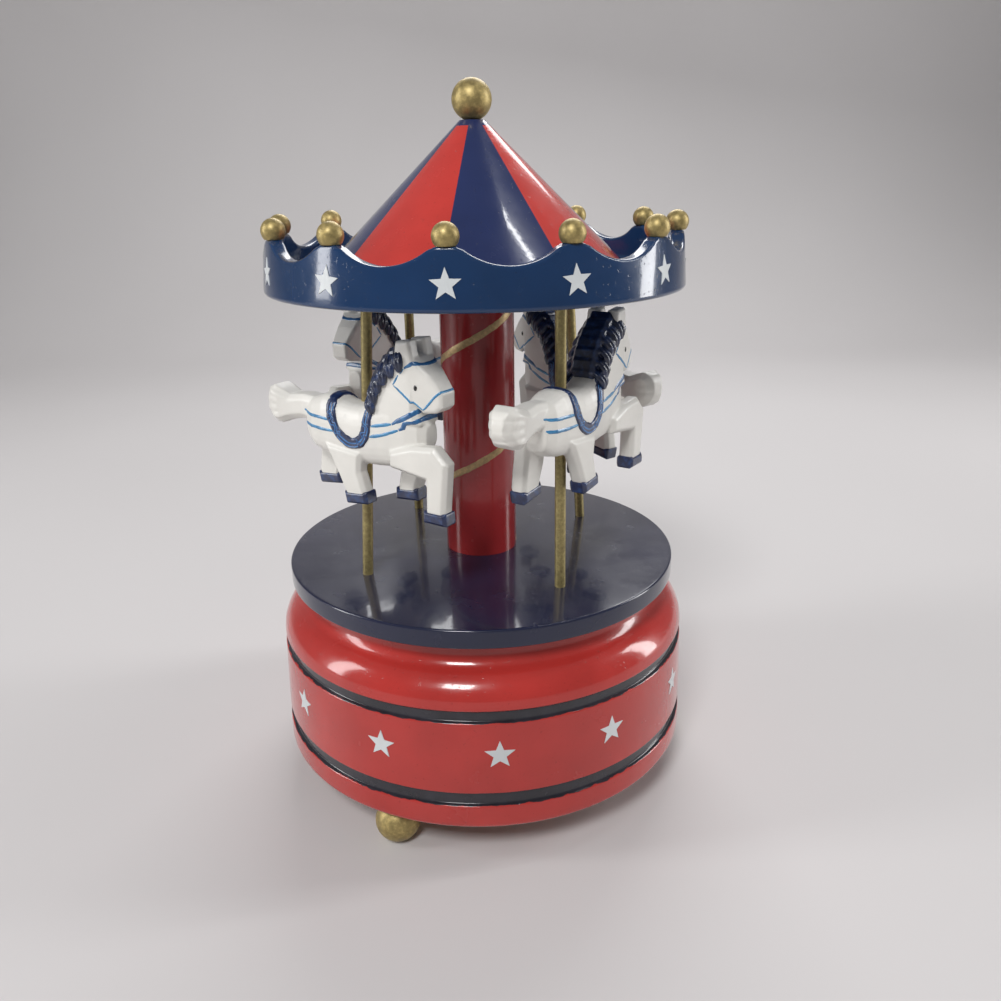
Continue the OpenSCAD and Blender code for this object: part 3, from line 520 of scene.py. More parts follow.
def make_platform():
    r = reach("platform")
    points = [(0, PLATFORM_Z), (r, PLATFORM_Z), (r, PLATFORM_TOP), (0, PLATFORM_TOP)]
    turned_piece("platform_disc", rounded(points, [0, 0.5, 0.6, 0]), [midnight], "carousel",
                 ["platform"], 256)


def make_column():
    low, high = span("column")
    r = (high.x - low.x) / 2
    sunk = 1
    foot, top = PLATFORM_TOP - sunk, CROWN_Z + sunk
    points = [(0, foot), (r, foot), (r, top), (0, top)]
    turned_piece("column_rod", points, [column_red], "carousel", ["column"], 96)
    make_stripe(r)


def make_stripe(column_r):
    """The painted spiral: a thin strip with ragged edges that climbs to the right round the front."""
    rng = random.Random(7)
    pitch, width, lift = 31.2, 1.9, 0.05
    ragged, end_gap = 0.16, 1.0
    start_turn, start_z = -3.0, 84.2
    first = (PLATFORM_TOP + end_gap - start_z) / pitch
    last = (CROWN_Z - end_gap - start_z) / pitch
    steps = 420
    wobble = [[rng.uniform(-1, 1) for _ in range(steps + 1)] for _ in range(2)]
    verts, faces = [], []
    for i in range(steps + 1):
        t = first + (last - first) * i / steps
        turn, z = start_turn + 360 * t, start_z + pitch * t
        fade = min(1.0, 12 * i / steps, 12 * (steps - i) / steps)
        edges = []
        for side in (0, 1):
            rough = sum(wobble[side][max(0, i - k)] for k in range(4)) / 4
            edges.append((width / 2 + ragged * rough) * max(fade, 0.25))
        left, right = edges
        for across, up in ((-left, 0.0), (-left * 0.8, lift), (right * 0.8, lift), (right, 0.0)):
            verts.append(tuple(around(column_r + up, turn, z + across)))
    for i in range(steps):
        for k in range(3):
            a = 4 * i + k
            faces.append((a, a + 1, a + 5, a + 4))
    faces += [(0, 1, 2, 3), tuple(4 * steps + k for k in (3, 2, 1, 0))]
    faces += [(4 * i + 3, 4 * i, 4 * i + 4, 4 * i + 7) for i in range(steps)]
    add_mesh("column_stripe", verts, faces, [stripe_gold], "carousel", smooth=80)


def pole_line(i):
    """Foot and top of a pole's centre line, from the two ends of its CAD node."""
    node = frame["nodes"][f"pole_{i}"]
    spots = [node.matrix_world @ v.co / MM for v in node.data.vertices]
    middle = (PLATFORM_TOP + CROWN_Z) / 2
    foot = [p for p in spots if p.z < middle]
    top = [p for p in spots if p.z > middle]
    return sum(foot, Vector()) / len(foot), sum(top, Vector()) / len(top)


# ---------------------------------------------------------------- crown and roof


def wall_height(turn):
    """Height of the scalloped wall over the crown's lower edge at a turn from the front."""
    r = reach("crown")
    peak = CROWN_PEAK - CROWN_Z
    half_gap = math.pi * r / PEAKS - BEAD_R
    scoop = peak - VALLEY_H
    scoop_r = (half_gap ** 2 + scoop ** 2) / (2 * scoop)
    step = 360 / PEAKS
    from_valley = math.radians(abs((turn - PEAK_TURN) % step - step / 2)) * r
    soft, dip = 1.2, 0.4
    edge = min(from_valley, half_gap)
    curve = VALLEY_H + scoop_r - math.sqrt(scoop_r ** 2 - edge ** 2)
    away = abs(from_valley - half_gap)
    return curve - (dip * (1 - away / soft) ** 2 if away < soft else 0.0)


def make_crown():
    """The crown: floor and scalloped wall in one, turned section by section with soft edges."""
    r = reach("crown")
    lean = CROWN_LEAN / (CROWN_PEAK - CROWN_Z)
    inner, draft = r - CROWN_WALL, 0.2
    segments = PEAKS * 60
    verts, faces = [], []
    for s in range(segments):
        turn = PEAK_TURN + 360 * s / segments
        h = wall_height(turn)
        points = [
            (0, 0), (r, 0), (r - lean * h, h), (inner - lean * h, h),
            (inner - draft, CROWN_FLOOR), (0, CROWN_FLOOR)]
        section = rounded(points, [0, 0.9, 0.8, 0.8, 1.2, 0], 5)
        verts += [tuple(around(radius, turn, CROWN_Z + z)) for radius, z in section]
    rows = len(verts) // segments
    for s in range(segments):
        t = (s + 1) % segments
        for k in range(rows - 1):
            faces.append((s * rows + k, t * rows + k, t * rows + k + 1, s * rows + k + 1))
    piece = add_mesh("crown_ring", verts, faces, [navy], "carousel", ["crown"],
                     smooth=35)
    weld(piece.data)


def crown_r(z):
    """Outer radius of the crown's wall, which leans inwards."""
    return reach("crown") - CROWN_LEAN * (z - CROWN_Z) / (CROWN_PEAK - CROWN_Z)


def star_outline(r, inner=0.42):
    """Ten corners of a five-pointed star, one point up."""
    points = []
    for i in range(10):
        q = r if i % 2 == 0 else r * inner
        a = math.pi * i / 5
        points.append(Vector((q * math.sin(a), q * math.cos(a))))
    return points


def wrapped_star(centre_turn, centre_z, r, surface, tilt):
    """Verts and faces of a thin star that follows a turned surface; surface gives radius at z."""
    bm = bmesh.new()
    turn_by = Matrix.Rotation(tilt, 2)
    rim = [bm.verts.new((*(turn_by @ p), 0)) for p in star_outline(r)]
    bm.faces.new(rim)
    bmesh.ops.triangulate(bm, faces=bm.faces)
    bmesh.ops.subdivide_edges(bm, edges=bm.edges, cuts=3, use_grid_fill=True)
    flat = [(v.co.x, v.co.y) for v in bm.verts]
    bm.verts.index_update()
    faces = [[v.index for v in f.verts] for f in bm.faces]
    rim_edges = [(e.verts[0].index, e.verts[1].index) for e in bm.edges if e.is_boundary]
    bm.free()
    n = len(flat)
    verts = []
    for level, share in ((0.14, 0.985), (-0.05, 1.0)):
        for x, y in flat:
            z = centre_z + y * share
            radius = surface(z)
            turn = centre_turn + math.degrees(x * share / radius)
            verts.append(tuple(around(radius + level, turn, z)))
    faces = faces + [[i + n for i in reversed(f)] for f in faces]
    faces += [[a, b, b + n, a + n] for a, b in rim_edges]
    return verts, faces


def make_stars(name, node, count, first, z, r, surface, body, seed):
    """A ring of stars in one piece, each a little askew."""
    rng = random.Random(seed)
    askew = 5
    verts, faces = [], []
    for i in range(count):
        tilt = math.radians(rng.uniform(-askew, askew))
        v, f = wrapped_star(first + 360 / count * i, z, r, surface, tilt)
        faces += [[k + len(verts) for k in face] for face in f]
        verts += v
    piece = add_mesh(name, verts, faces, [star_white], body, [node], smooth=30)
    weld(piece.data, 0.0005)


def make_beads():
    """A bead on each peak of the crown, cut flat where it sits."""
    for i in range(1, PEAKS + 1):
        turn, ring = polar(f"bead_{i}")
        centre = around(ring, turn, CROWN_PEAK + BEAD_R - BEAD_SINK)
        flat = math.sqrt(BEAD_R ** 2 - (BEAD_R - BEAD_SINK) ** 2)
        profile = ball(BEAD_R, flat_low=flat, steps=24)
        ball_piece(f"crown_bead_{i}", profile, centre, gold, "carousel", [f"bead_{i}"], 40)


def make_roof():
    """The cone in eight wedges, red and navy in turn, with a navy cap under the finial."""
    wedges, per_wedge, first_turn = 8, 24, -12.0
    low_r, sunk = reach("roof_cone"), 0.5
    floor_z = CROWN_Z + CROWN_FLOOR
    height = CONE_TOP - floor_z
    cap = 1.3
    slope = (low_r - CONE_TOP_R) / height
    profile = [(0, floor_z - sunk), (low_r, floor_z - sunk)]
    rings = 24
    for k in range(rings + 1):
        z = floor_z + (height - cap) * k / rings
        profile.append((CONE_TOP_R + slope * (CONE_TOP - z), z))
    shoulder = (CONE_TOP_R + slope * cap * 0.9, CONE_TOP - cap * 0.9)
    profile += rounded([shoulder, (CONE_TOP_R, CONE_TOP), (0, CONE_TOP)], [0, 0.5, 0])
    verts, faces = lathe(profile, wedges * per_wedge, closed=False, first=first_turn)
    slots = []
    for face in faces:
        segment, row = divmod(face[0], len(profile))
        in_navy = (segment // per_wedge) % 2 == 0 or row >= rings + 2
        slots.append(1 if in_navy else 0)
    piece = add_mesh("roof_shell", verts, faces, [roof_red, roof_navy], "carousel",
                     ["roof_cone"], slots, smooth=35)
    weld(piece.data)
    low, high = span("finial")
    r = (high.x - low.x) / 2
    centre = Vector((0, 0, high.z - r))
    ball_piece("finial_ball", ball(r, flat_low=FINIAL_FLAT_R, steps=36), centre, gold, "carousel",
               ["finial"], 64)


# ---------------------------------------------------------------- horses
# Horse coordinates, in mm: X forward, Y to the horse's left, Z up; the outer side is -Y.
TOE_IN = 21.4
SECOND_TOE_IN = 4.0
HORSE_OFFSET = 2.3
SADDLE_H = 45.3
LOWEST_HOOF = 21.8


def prism(outline, y_low, y_high, bevel, squeeze=None):
    """A side outline given thickness, its long edges chamfered, then shaped by squeeze(x, y, z)."""
    bm = bmesh.new()
    front = [bm.verts.new((x, y_low, z)) for x, z in outline]
    back = [bm.verts.new((x, y_high, z)) for x, z in outline]
    n = len(outline)
    bm.faces.new(front)
    bm.faces.new(list(reversed(back)))
    for i in range(n):
        bm.faces.new((front[(i + 1) % n], front[i], back[i], back[(i + 1) % n]))
    bmesh.ops.recalc_face_normals(bm, faces=bm.faces)
    same, long_edge = 1e-6, 2
    rim = [e for e in bm.edges if abs(e.verts[0].co.y - e.verts[1].co.y) < same]
    bmesh.ops.bevel(bm, geom=rim, offset=bevel, segments=1, affect="EDGES", clamp_overlap=True)
    bmesh.ops.triangulate(bm, faces=bm.faces)
    if squeeze:
        coarse = [e for e in bm.edges if e.calc_length() > long_edge]
        bmesh.ops.subdivide_edges(bm, edges=coarse, cuts=2)
        for v in bm.verts:
            v.co = squeeze(*v.co)
    return bm


def skin(rings):
    """A closed solid through rings that have the same number of points."""
    bm = bmesh.new()
    rings = [[bm.verts.new(point) for point in ring] for ring in rings]
    for a, b in zip(rings, rings[1:]):
        for k in range(len(a)):
            m = (k + 1) % len(a)
            bm.faces.new((a[k], a[m], b[m], b[k]))
    bm.faces.new(list(reversed(rings[0])))
    bm.faces.new(rings[-1])
    bmesh.ops.recalc_face_normals(bm, faces=bm.faces)
    return bm


def loft(sections, sides=28, power=3.0):
    """A solid through rounded-rectangle sections: (x, low z, high z, half width)."""
    rings = []
    for x, low, high, half in sections:
        ring = []
        for k in range(sides):
            a = TURN * k / sides
            c, s = math.cos(a), math.sin(a)
            y = half * math.copysign(abs(c) ** (2 / power), c)
            z = (low + high) / 2 + (high - low) / 2 * math.copysign(abs(s) ** (2 / power), s)
            ring.append((x, y, z))
        rings.append(ring)
    return skin(rings)


def fused(name, parts, voxel, smooth_steps, keep):
    """Joins closed solids into one skin with soft edges, in metres, and keeps a share of its faces."""
    joined = bpy.data.meshes.new(name)
    whole = bmesh.new()
    for part in parts:
        piece = bpy.data.meshes.new("part")
        part.to_mesh(piece)
        part.free()
        whole.from_mesh(piece)
        bpy.data.meshes.remove(piece)
    bmesh.ops.scale(whole, vec=(MM, MM, MM), verts=whole.verts)
    whole.to_mesh(joined)
    whole.free()
    thing = bpy.data.objects.new(name, joined)
    bpy.context.scene.collection.objects.link(thing)
    remesh = thing.modifiers.new("remesh", "REMESH")
    remesh.mode = "VOXEL"
    remesh.voxel_size = voxel * MM
    soften = thing.modifiers.new("soften", "SMOOTH")
    soften.factor = 0.5
    soften.iterations = smooth_steps
    thin = thing.modifiers.new("thin", "DECIMATE")
    thin.ratio = keep
    graph = bpy.context.evaluated_depsgraph_get()
    made = bpy.data.meshes.new_from_object(thing.evaluated_get(graph))
    made.name = name
    bpy.data.objects.remove(thing)
    bpy.data.meshes.remove(joined)
    return made


def progress(value, start, length):
    """How far a value has come along a stretch, from 0 to 1."""
    return min(1.0, max(0.0, (value - start) / length))


def narrow_head(x, y, z):
    """The head tapers from brow to muzzle."""
    return Vector((x, y * (1 - 0.42 * progress(x, 17, 9)), z))


def narrow_neck(x, y, z):
    """The neck is a little narrower at the top."""
    return Vector((x, y * (1 - 0.12 * progress(z, 44, 14)), z))


def flare_tail(x, y, z):
    """Narrow at the root, widest near the end, round at the tip."""
    tip = progress(-x, 24.5, 4.6)
    return Vector((x, y * (0.72 + 0.28 * progress(-x, 16, 8)) * (1 - 0.45 * tip * tip), z))


TORSO = [
    (-15.5, 36.6, 42.4, 1.6), (-14.5, 34.6, 44.3, 3.2), (-12.2, 33.0, 45.7, 4.2), (-8.6, 32.1, 46.8, 4.7),
    (-5.6, 31.7, 46.8, 4.8), (-3.6, 31.5, 45.7, 4.8), (0, 31.4, 45.2, 4.8), (3, 31.4, 45.4, 4.8),
    (6.6, 31.5, 47.3, 4.8), (12, 32.0, 47.6, 4.6), (16, 33.2, 46.4, 4.2), (19, 35.6, 44.8, 3.3),
    (20.6, 38.0, 42.6, 1.9)]
NECK = [
    (5.2, 44), (8.6, 51.6), (12.2, 57.0), (14.8, 58.2), (19, 57), (19.6, 50), (19.2, 46.6),
    (20.2, 43), (12, 41)]
HEAD = [
    (12.8, 51.4), (14.2, 57.4), (16.2, 58.8), (19.2, 57.6), (22.6, 54.4), (25.7, 50.4), (25.5, 47.3),
    (24.1, 46.1), (21, 45.8), (19.2, 47.2), (16.4, 48.8)]
EAR = [(13.8, 56.4), (14.7, 61.0), (18.5, 61.4), (19.3, 56.8)]
TAIL = [
    (-12.6, 39.2), (-17, 39.6), (-20.8, 38.9), (-23.6, 37.7), (-26.0, 38.0), (-28.0, 39.6),
    (-29.0, 42.0), (-28.7, 44.6), (-27.4, 46.4), (-25.6, 47.0), (-23.2, 46.2), (-20.6, 45.2),
    (-16.4, 45.6), (-12.6, 45.4)]
# legs and hooves as (outline, low y, high y): outer hind, inner hind, outer fore, inner fore
LEGS = [
    ([(-8, 36), (3.6, 35), (2.8, 30), (4.3, 25.4), (4.4, 24), (-1.3, 23.6), (-2.3, 25),
      (-3.9, 28.6)], -5.3, -1.3),
    ([(-14.6, 38), (-7, 35), (-8.2, 30), (-9.9, 26), (-9.9, 24.8), (-15.8, 24.2), (-16.8, 25.6),
      (-16.2, 29.4)], 1.3, 5.3),
    ([(12, 36.6), (18.5, 38.6), (24.8, 39.2), (28.3, 35.8), (27.2, 25), (27.2, 23.6), (21.7, 23.4),
      (22, 25), (22.2, 31.4), (12, 32.8)], -5.4, -1.3),
    ([(9, 37), (18, 37), (15.7, 30), (14.2, 26), (14.1, 24.8), (8.3, 24.2), (8.5, 25.8),
      (9.4, 30)], 1.3, 5.3)]
HOOVES = [
    ([(-2.2, 24.9), (4.6, 25.5), (4.9, 22.6), (-1.6, 21.9)], -5.5, -1.1),
    ([(-17.0, 25.5), (-9.6, 26.2), (-9.4, 23.4), (-16.4, 22.5)], 1.1, 5.5),
    ([(21.5, 24.6), (27.5, 24.6), (27.8, 21.7), (21.3, 21.7)], -5.6, -1.1),
    ([(8.0, 25.6), (14.4, 26.3), (14.6, 23.3), (7.9, 22.7)], 1.1, 5.5)]


def make_horse_body():
    """White body, neck, head, ears, tail and legs as one carved skin."""
    parts = [loft(TORSO)]
    parts.append(prism(NECK, -4.3, 4.3, 1.2, narrow_neck))
    parts.append(prism(HEAD, -4.2, 4.2, 0.7, narrow_head))
    parts.append(prism(EAR, -4.1, -1.0, 0.5))
    parts.append(prism(EAR, 1.0, 4.1, 0.5))
    parts.append(prism(TAIL, -3.7, 3.7, 1.4, flare_tail))
    parts += [prism(leg, low, high, 0.9) for leg, low, high in LEGS]
    mesh = fused("horse_body", parts, 0.26, 3, keep=0.5)
    flute_tail(mesh)
    return mesh


def flute_tail(mesh):
    """Shallow grooves that fan out along the tail."""
    root_x, root_z, depth = 10, 42.2, 0.17
    normals = [v.normal.copy() for v in mesh.vertices]
    for v, normal in zip(mesh.vertices, normals):
        x, y, z = v.co / MM
        t = progress(-x, 19.5, 7)
        if t <= 0:
            continue
        spread = math.degrees(math.atan2(z - root_z, -x - root_x)) * 0.5 + y * 0.12
        groove = depth * t * (1 - abs(math.sin(spread * 0.9)))
        v.co -= normal * groove * MM


def lock(path, width, thick, sides=30):
    """A flat tapering lock of mane with three ridges along each face."""
    rings = []
    last = len(path) - 1
    out = Vector((0, math.copysign(1, path[-1].y), 0))
    for i, p in enumerate(path):
        t = i / last
        along = (path[min(i + 1, last)] - path[max(i - 1, 0)]).normalized()
        side = along.cross(out).normalized()
        belly = 0.55 + 0.45 * math.sin(math.pi * min(1.0, 0.1 + 0.75 * t))
        swell = belly * (1 - 0.55 * max(0.0, t - 0.8) / 0.2)
        ring = []
        for k in range(sides):
            a = TURN * k / sides
            across = math.cos(a)
            ridge = 1 + 0.3 * math.cos(3 * math.pi * across)
            ring.append(p + side * across * width * swell + out * math.sin(a) * thick * swell * ridge)
        rings.append(ring)
    return skin(rings)


def make_mane():
    """A ridge along the crest with overlapping locks that hang down both sides of the neck."""
    parts = []
    count, points, steps = 6, 8, 12
    bow_x, bow_z = -1.3, 0.8
    for i in range(count):
        t = i / (count - 1)
        crest = Vector((14.6 - 8.4 * t, 0, 59.4 - 10.8 * t))
        crest += Vector((bow_x, 0, bow_z)) * math.sin(math.pi * t)
        hang = 5.4 - 0.7 * t
        for s in (-1, 1):
            path = []
            for k in range(points):
                u = k / (points - 1)
                y = s * (1.1 + (3.6 - 0.3 * (1 - t)) * min(1.0, 1.6 * u) ** 0.6)
                path.append(crest + Vector((1.5 * u, y, 0.5 - hang * u ** 1.3)))
            parts.append(lock(path, 1.5, 0.85))
    spine = []
    for k in range(steps + 1):
        t = k / steps
        bow = math.sin(math.pi * t)
        spine.append((15.0 - 9.6 * t + bow_x * bow, 59.6 - 12.4 * t + bow_z * bow))
    outline = [(x - 0.9, z + 0.9 + 0.25 * (-1) ** k) for k, (x, z) in enumerate(spine)]
    outline += [(x + 1.8, z - 1.8) for x, z in reversed(spine)]
    parts.append(prism(outline, -3.1, 3.1, 0.9))
    return fused("horse_mane", parts, 0.19, 2, keep=0.6)


def make_hooves():
    parts = [prism(hoof, low, high, 0.6) for hoof, low, high in HOOVES]
    return fused("horse_hooves", parts, 0.2, 3, keep=0.4)


def smooth_path(points, step=0.35):
    """Catmull-Rom through a few given points, sampled about every step mm."""
    pts = [Vector(p) for p in points]
    pts = [2 * pts[0] - pts[1]] + pts + [2 * pts[-1] - pts[-2]]
    out = []
    for i in range(1, len(pts) - 2):
        a, b, c, d = pts[i - 1:i + 3]
        n = max(2, int((c - b).length / step))
        for k in range(n):
            t = k / n
            out.append(0.5 * ((2 * b) + (c - a) * t + (2 * a - 5 * b + 4 * c - d) * t * t
                              + (3 * b - a - 3 * c + d) * t ** 3))
    out.append(pts[-2])
    return out


# sections of painted lines: (share of the half width, height in mm)
FLAT_STROKE = ((-1, -0.06), (-0.72, 0.06), (0, 0.09), (0.72, 0.06), (1, -0.06))
RAISED_BAND = (
    (-1, -0.1), (-0.93, 0.2), (-0.62, 0.34), (-0.3, 0.3), (0, 0.18), (0.3, 0.3), (0.62, 0.34),
    (0.93, 0.2), (1, -0.1))


def brushed_line(tree, points, width, section, shift=0.0, taper=0.35, seed=1):
    """A painted line laid on the skin along a guide, moved sideways by shift: verts in metres, faces."""
    rng = random.Random(seed)
    rows = [tree.find_nearest(p * MM)[:2] for p in smooth_path(points)]
    n = len(section)
    verts, faces = [], []
    total = len(rows) - 1
    wander = 0.0
    for i, (hit, normal) in enumerate(rows):
        along = rows[min(i + 2, total)][0] - rows[max(i - 2, 0)][0]
        side = along.cross(normal).normalized()
        wander = 0.7 * wander + 0.3 * rng.uniform(-1, 1)
        ends = min(1.0, (min(i, total - i) + 1) / 5)
        half = width / 2 * MM * (1 + 0.2 * wander) * (taper + (1 - taper) * ends)
        for across, up in section:
            spot, out, _, _ = tree.find_nearest(hit + side * (half * across + shift * MM))
            verts.append(spot + (out * 0.5 + normal * 0.5).normalized() * up * MM)
        if i:
            a = n * (i - 1)
            faces += [(a + k, a + k + 1, a + k + n + 1, a + k + n) for k in range(n - 1)]
            faces.append((a + n - 1, a, a + n, a + 2 * n - 1))
    faces += [tuple(range(n - 1, -1, -1)), tuple(n * total + k for k in range(n))]
    return verts, faces


def mirrored(lines):
    """Each line for the horse's right side, and its twin for the left."""
    return lines + [[(x, -y, z) for x, y, z in line] for line in lines]


def across(line):
    """A line that runs up to the middle plane, carried on down the other side."""
    return line + [(x, -y, z) for x, y, z in reversed(line[:-1])]


# guides of the painted trim, on the horse's right side (-Y) unless they cross over
OUT = -7.0
SADDLE_U = [
    (-4.4, -3.4, 47.2), (-4.9, -5.2, 46.2), (-4.9, OUT, 44.2), (-4.4, OUT, 41.2), (-2.4, OUT, 38.2),
    (0.8, OUT, 36.7), (3.8, OUT, 37.6), (5.4, OUT, 40.2), (5.8, OUT, 43.4), (6.1, -5.6, 46.0),
    (6.0, -3.8, 48.0)]
CANTLE = across([(-4.5, -4.4, 47), (-5.2, -2.6, 48), (-5.5, 0, 48.4)])
POMMEL = across([(6.1, -4.0, 48.0), (5.6, -2.2, 49), (5.4, 0, 49.2)])
STRAPS = [
    [(-15.4, -3.4, 42.2), (-13.6, -5.0, 41.9), (-11, OUT, 41.7), (-8, OUT, 41.6), (-5.6, OUT, 41.4)],
    [(-15.6, -3.4, 39.5), (-13.6, -5.0, 39.1), (-11, OUT, 38.9), (-8, OUT, 38.8), (-4.2, OUT, 38.8)],
    [(7.2, OUT, 41.6), (10, OUT, 42.2), (13.2, OUT, 43.0)],
    [(6.6, OUT, 39.0), (10, OUT, 39.9), (14.8, -6.0, 41.6)]]
CHEST = [
    across([(13.4, OUT, 43.1), (15.6, -6.0, 44.1), (17.8, -4.6, 45.2), (19.4, -2, 46.2), (19.8, 0, 46.4)]),
    across([(15.0, -5.4, 41.7), (17.2, -4.9, 42.9), (19.2, -3.6, 43.9), (20.6, -1.6, 44.5),
            (21.0, 0, 44.6)])]
BROW = across([
    (17.4, -4.9, 55.4), (19.2, -4.4, 56.6), (20.6, -3.4, 57.0), (21.2, -1.6, 57.0), (21.3, 0, 57.0)])
NOSE = across([
    (21.4, -4.4, 46.6), (22.8, -3.9, 48.2), (24.2, -3.4, 49.8), (25.9, -2.2, 51.2), (26.2, 0, 51.4)])
TEMPLE = [
    [(17.0, -4.9, 55.2), (16.0, -5.0, 54.2)],
    [(15.4, -5.0, 53.8), (14.5, -5.1, 52.5), (13.7, -5.2, 51.5)]]
CHEEK = [[(13.9, -5.2, 51.3), (16.4, -5.0, 49.7), (18.8, -4.8, 48.1), (21.2, -4.4, 46.5)]]


def painted(name, tree, lines, width, section=FLAT_STROKE, shifts=(0.0,), seed=1):
    """One mesh that holds several painted lines, each drawn once for every sideways shift."""
    verts, faces = [], []
    for k, (line, shift) in enumerate((line, shift) for line in lines for shift in shifts):
        v, f = brushed_line(tree, line, width, section, shift, seed=seed + k)
        faces += [tuple(i + len(verts) for i in face) for face in f]
        verts += v
    mesh = bpy.data.meshes.new(name)
    mesh.from_pydata(verts, [], faces)
    bm = bmesh.new()
    bm.from_mesh(mesh)
    bmesh.ops.recalc_face_normals(bm, faces=bm.faces)
    bm.to_mesh(mesh)
    bm.free()
    return mesh


def surface_tree(mesh):
    """Finds the nearest point on a mesh."""
    bm = bmesh.new()
    bm.from_mesh(mesh)
    tree = BVHTree.FromBMesh(bm)
    bm.free()
    return tree


def eyes_mesh(tree):
    """Small almond eyes, pressed onto the cheeks."""
    eye_x, eye_y, eye_z = 19.9, 5.2, 51.4
    half = Vector((0.42, 0.62, 0.22)) * MM
    bm = bmesh.new()
    for s in (-1, 1):
        spot, normal, _, _ = tree.find_nearest(Vector((eye_x, eye_y * s, eye_z)) * MM)
        look = Matrix.Translation(spot) @ normal.to_track_quat("Z", "Y").to_matrix().to_4x4()
        shape = look @ Matrix.Diagonal((*half, 1))
        bmesh.ops.create_uvsphere(bm, u_segments=20, v_segments=12, radius=1, matrix=shape)
    mesh = bpy.data.meshes.new("horse_eyes")
    bm.to_mesh(mesh)
    bm.free()
    return mesh


def make_horses():
    """One set of meshes, painted along the guides, and placed on each pole."""
    body = make_horse_body()
    tree = surface_tree(body)
    saddle = mirrored([SADDLE_U]) + [CANTLE, POMMEL]
    trim = painted("horse_saddle_trim", tree, saddle, 2.7, RAISED_BAND, seed=11)
    twin = 0.42
    lines = painted("horse_saddle_lines", surface_tree(trim), mirrored([SADDLE_U[1:-1]]), twin,
                    shifts=(-twin, twin), seed=21)
    bridle = [NOSE] + mirrored(TEMPLE + CHEEK)
    coats = [
        ("body", body, white),
        ("mane", make_mane(), mane_navy),
        ("hooves", make_hooves(), hoof_navy),
        ("saddle_trim", trim, trim_navy),
        ("saddle_lines", lines, trim_blue),
        ("straps", painted("horse_straps", tree, mirrored(STRAPS), 0.9, seed=31), strap_blue),
        ("chest_straps", painted("horse_chest", tree, CHEST, 1.3, seed=51), chest_blue),
        ("bridle", painted("horse_bridle", tree, bridle, 0.62, seed=61), strap_blue),
        ("brow_band", painted("horse_brow", tree, [BROW], 1.0, seed=81), chest_blue),
        ("eyes", eyes_mesh(tree), eye_black)]
    for _, mesh, material in coats:
        mesh.materials.clear()
        mesh.materials.append(material)
    for i in range(1, HORSES + 1):
        foot, top = pole_line(i)
        rise = span(f"horse_{i}")[0].z - PLATFORM_TOP - LOWEST_HOOF
        up = (PLATFORM_TOP + SADDLE_H + rise - foot.z) / (top.z - foot.z)
        spot = foot + (top - foot) * up
        turn = math.degrees(math.atan2(foot.x, -foot.y)) + (SECOND_TOE_IN if i == 2 else TOE_IN)
        place = (Matrix.Translation(Vector((spot.x, spot.y, PLATFORM_TOP + rise)) * MM)
                 @ Matrix.Rotation(math.radians(turn), 4, "Z")
                 @ Matrix.Translation((0, -HORSE_OFFSET * MM, 0)))
        for part, mesh, _ in coats:
            replaced = [f"horse_{i}"] if part == "body" else []
            add_piece(f"horse_{i}_{part}", mesh, "carousel", replaced, 60, place)


# ---------------------------------------------------------------- CAD nodes that stay

brass = metal("brass_metal", (0.78, 0.56, 0.2), 0.26)
steel = metal("bright_steel_metal", (0.62, 0.63, 0.64), 0.24, (1, 1, 6))
spring = metal("spring_steel_metal", (0.42, 0.44, 0.48), 0.32, (6, 1, 1))
casting = metal("bed_casting_metal", (0.55, 0.55, 0.53), 0.45, (1, 1, 1), 500)
nylon = plastic("white_plastic_moulded", (0.82, 0.82, 0.77))
board = plain_wood("plain_wood_board", (0.52, 0.34, 0.17))
KEPT = {
    "plain_wood": board, "bed_casting": casting, "spring_steel": spring, "white_plastic": nylon,
    "brass": brass, "bright_steel": steel, "gold_pole": pole_gold}


def dress_cad_nodes():
    """Every CAD node that stays in view gets its finish from its own record slot."""
    for part in frame["record"]["subparts"]:
        material = KEPT.get(part["material_slot"])
        if material is None:
            continue
        mesh = frame["nodes"][part["node"]].data
        if not mesh.materials:
            mesh.materials.append(material)
        for k in range(len(mesh.materials)):
            mesh.materials[k] = material


# ---------------------------------------------------------------- stage, lights and camera


def make_stage():
    """A pale floor that curves up into a backdrop behind the object."""
    floor = Paint("stage_floor", Roughness=0.6)
    floor.colour(floor.ramp(floor.noise(3, 2), [(0.3, (0.56, 0.54, 0.54)), (0.7, (0.6, 0.58, 0.58))]))
    half, back, bend, top, steps = 1.6, 0.9, 0.35, 1.3, 16
    row = [(-half, 0.0), (back - bend, 0.0)]
    for i in range(1, steps + 1):
        a = math.pi / 2 * i / steps
        row.append((back - bend + bend * math.sin(a), bend - bend * math.cos(a)))
    row.append((back, top))
    verts = [(s * half, y, z) for y, z in row for s in (-1, 1)]
    faces = [(2 * i, 2 * i + 1, 2 * i + 3, 2 * i + 2) for i in range(len(row) - 1)]
    mesh = bpy.data.meshes.new("stage")
    mesh.from_pydata(verts, [], faces)
    mesh.materials.append(floor.material)
    mesh.shade_smooth()
    stage = bpy.data.objects.new("stage", mesh)
    bpy.context.scene.collection.objects.link(stage)


def soft_box(name, place, aim_z, size, power):
    """A rectangular lamp that looks at the main axis at a height."""
    light = bpy.data.lights.new(name, "AREA")
    light.shape = "RECTANGLE"
    light.size, light.size_y = size
    light.energy = power
    lamp = bpy.data.objects.new(name, light)
    lamp.location = place
    look = Vector((0, 0, aim_z)) - Vector(place)
    lamp.rotation_euler = look.to_track_quat("-Z", "Y").to_euler()
    bpy.context.scene.collection.objects.link(lamp)


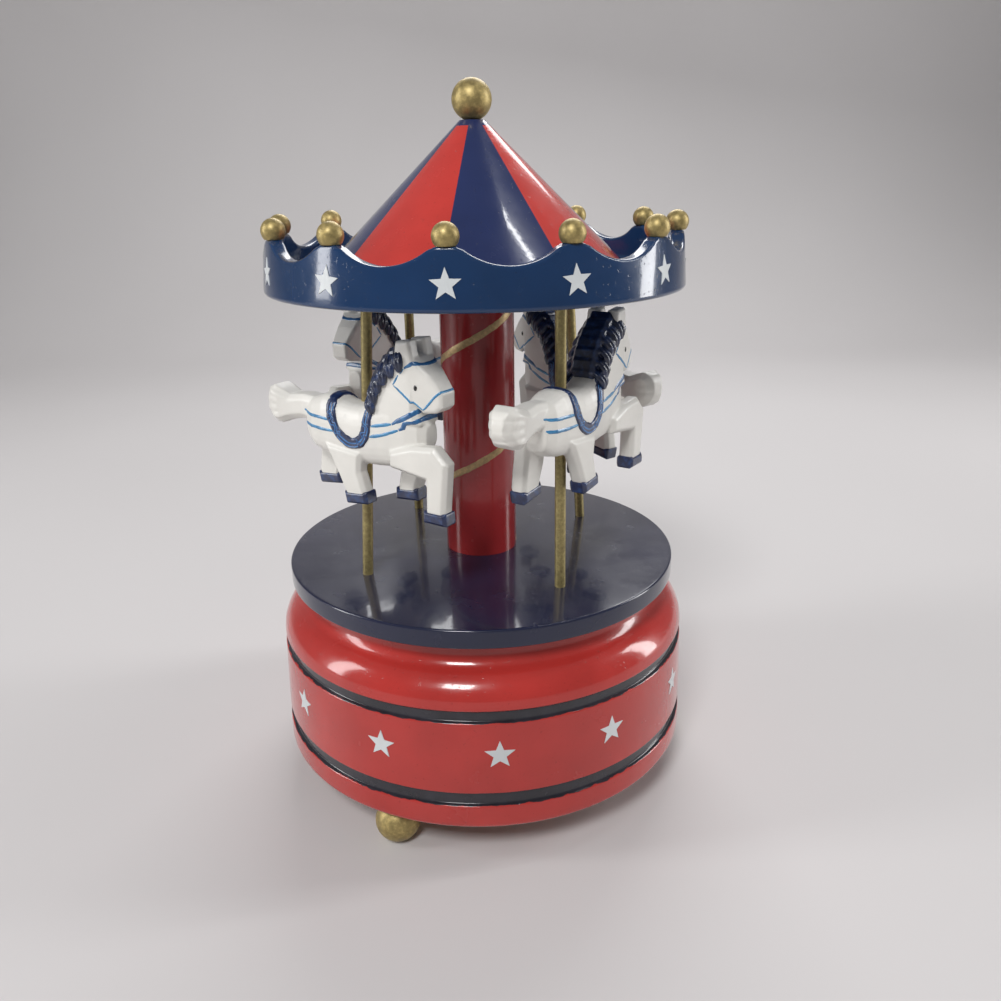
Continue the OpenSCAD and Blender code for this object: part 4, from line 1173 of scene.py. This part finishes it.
def make_lights():
    world = bpy.data.worlds.new("studio")
    bpy.context.scene.world = world
    world.use_nodes = True
    back = world.node_tree.nodes["Background"]
    back.inputs["Color"].default_value = (0.93, 0.93, 0.95, 1)
    back.inputs["Strength"].default_value = 0.19
    soft_box("top_box", (0.1, 0.6, 0.62), 0.1, (0.6, 0.3), 3.2)
    soft_box("left_box", (-0.8, -0.1, 0.35), 0.09, (0.16, 0.6), 3.0)
    soft_box("right_box", (0.8, 0.1, 0.3), 0.09, (0.16, 0.6), 3.2)
    soft_box("key_lamp", (-0.18, -0.6, 0.7), 0.09, (0.2, 0.2), 4.3)
    soft_box("streak_strip", (0.26, 0.03, 0.7), 0.14, (0.012, 0.16), 0.25)


def make_camera():
    """Stands at the viewing angle: a short lens close to the object, level with its crown."""
    distance, height = 0.2214, 0.15114
    yaw, pitch, roll = math.radians(1.34), math.radians(-19.87), math.radians(-0.87)
    ahead = Vector((math.sin(yaw) * math.cos(pitch), math.cos(yaw) * math.cos(pitch), math.sin(pitch)))
    level = Vector((math.cos(yaw), -math.sin(yaw), 0))
    above = level.cross(ahead)
    right = level * math.cos(roll) + above * math.sin(roll)
    up = above * math.cos(roll) - level * math.sin(roll)
    data = bpy.data.cameras.new("camera")
    data.lens = 32.13
    data.sensor_width = 36
    data.clip_start = 0.01
    camera = bpy.data.objects.new("camera", data)
    facing = Matrix((right, up, -ahead)).transposed().to_4x4()
    camera.matrix_world = Matrix.Translation((0, -distance, height)) @ facing
    bpy.context.scene.collection.objects.link(camera)
    bpy.context.scene.camera = camera


bpy.context.scene.view_settings.view_transform = "Standard"
make_camera()
make_lights()
make_stage()
make_base()
make_feet()
make_platform()
make_column()
make_crown()
make_stars("crown_star_set", "crown_stars", PEAKS, PEAK_TURN, CROWN_STAR_Z, CROWN_STAR_R, crown_r,
           "carousel", 5)
make_stars("base_star_set", "base_stars", BASE_STARS, BASE_STAR_TURN, BASE_STAR_Z, BASE_STAR_R, wall_r,
           "base", 9)
make_beads()
make_roof()
make_horses()
dress_cad_nodes()
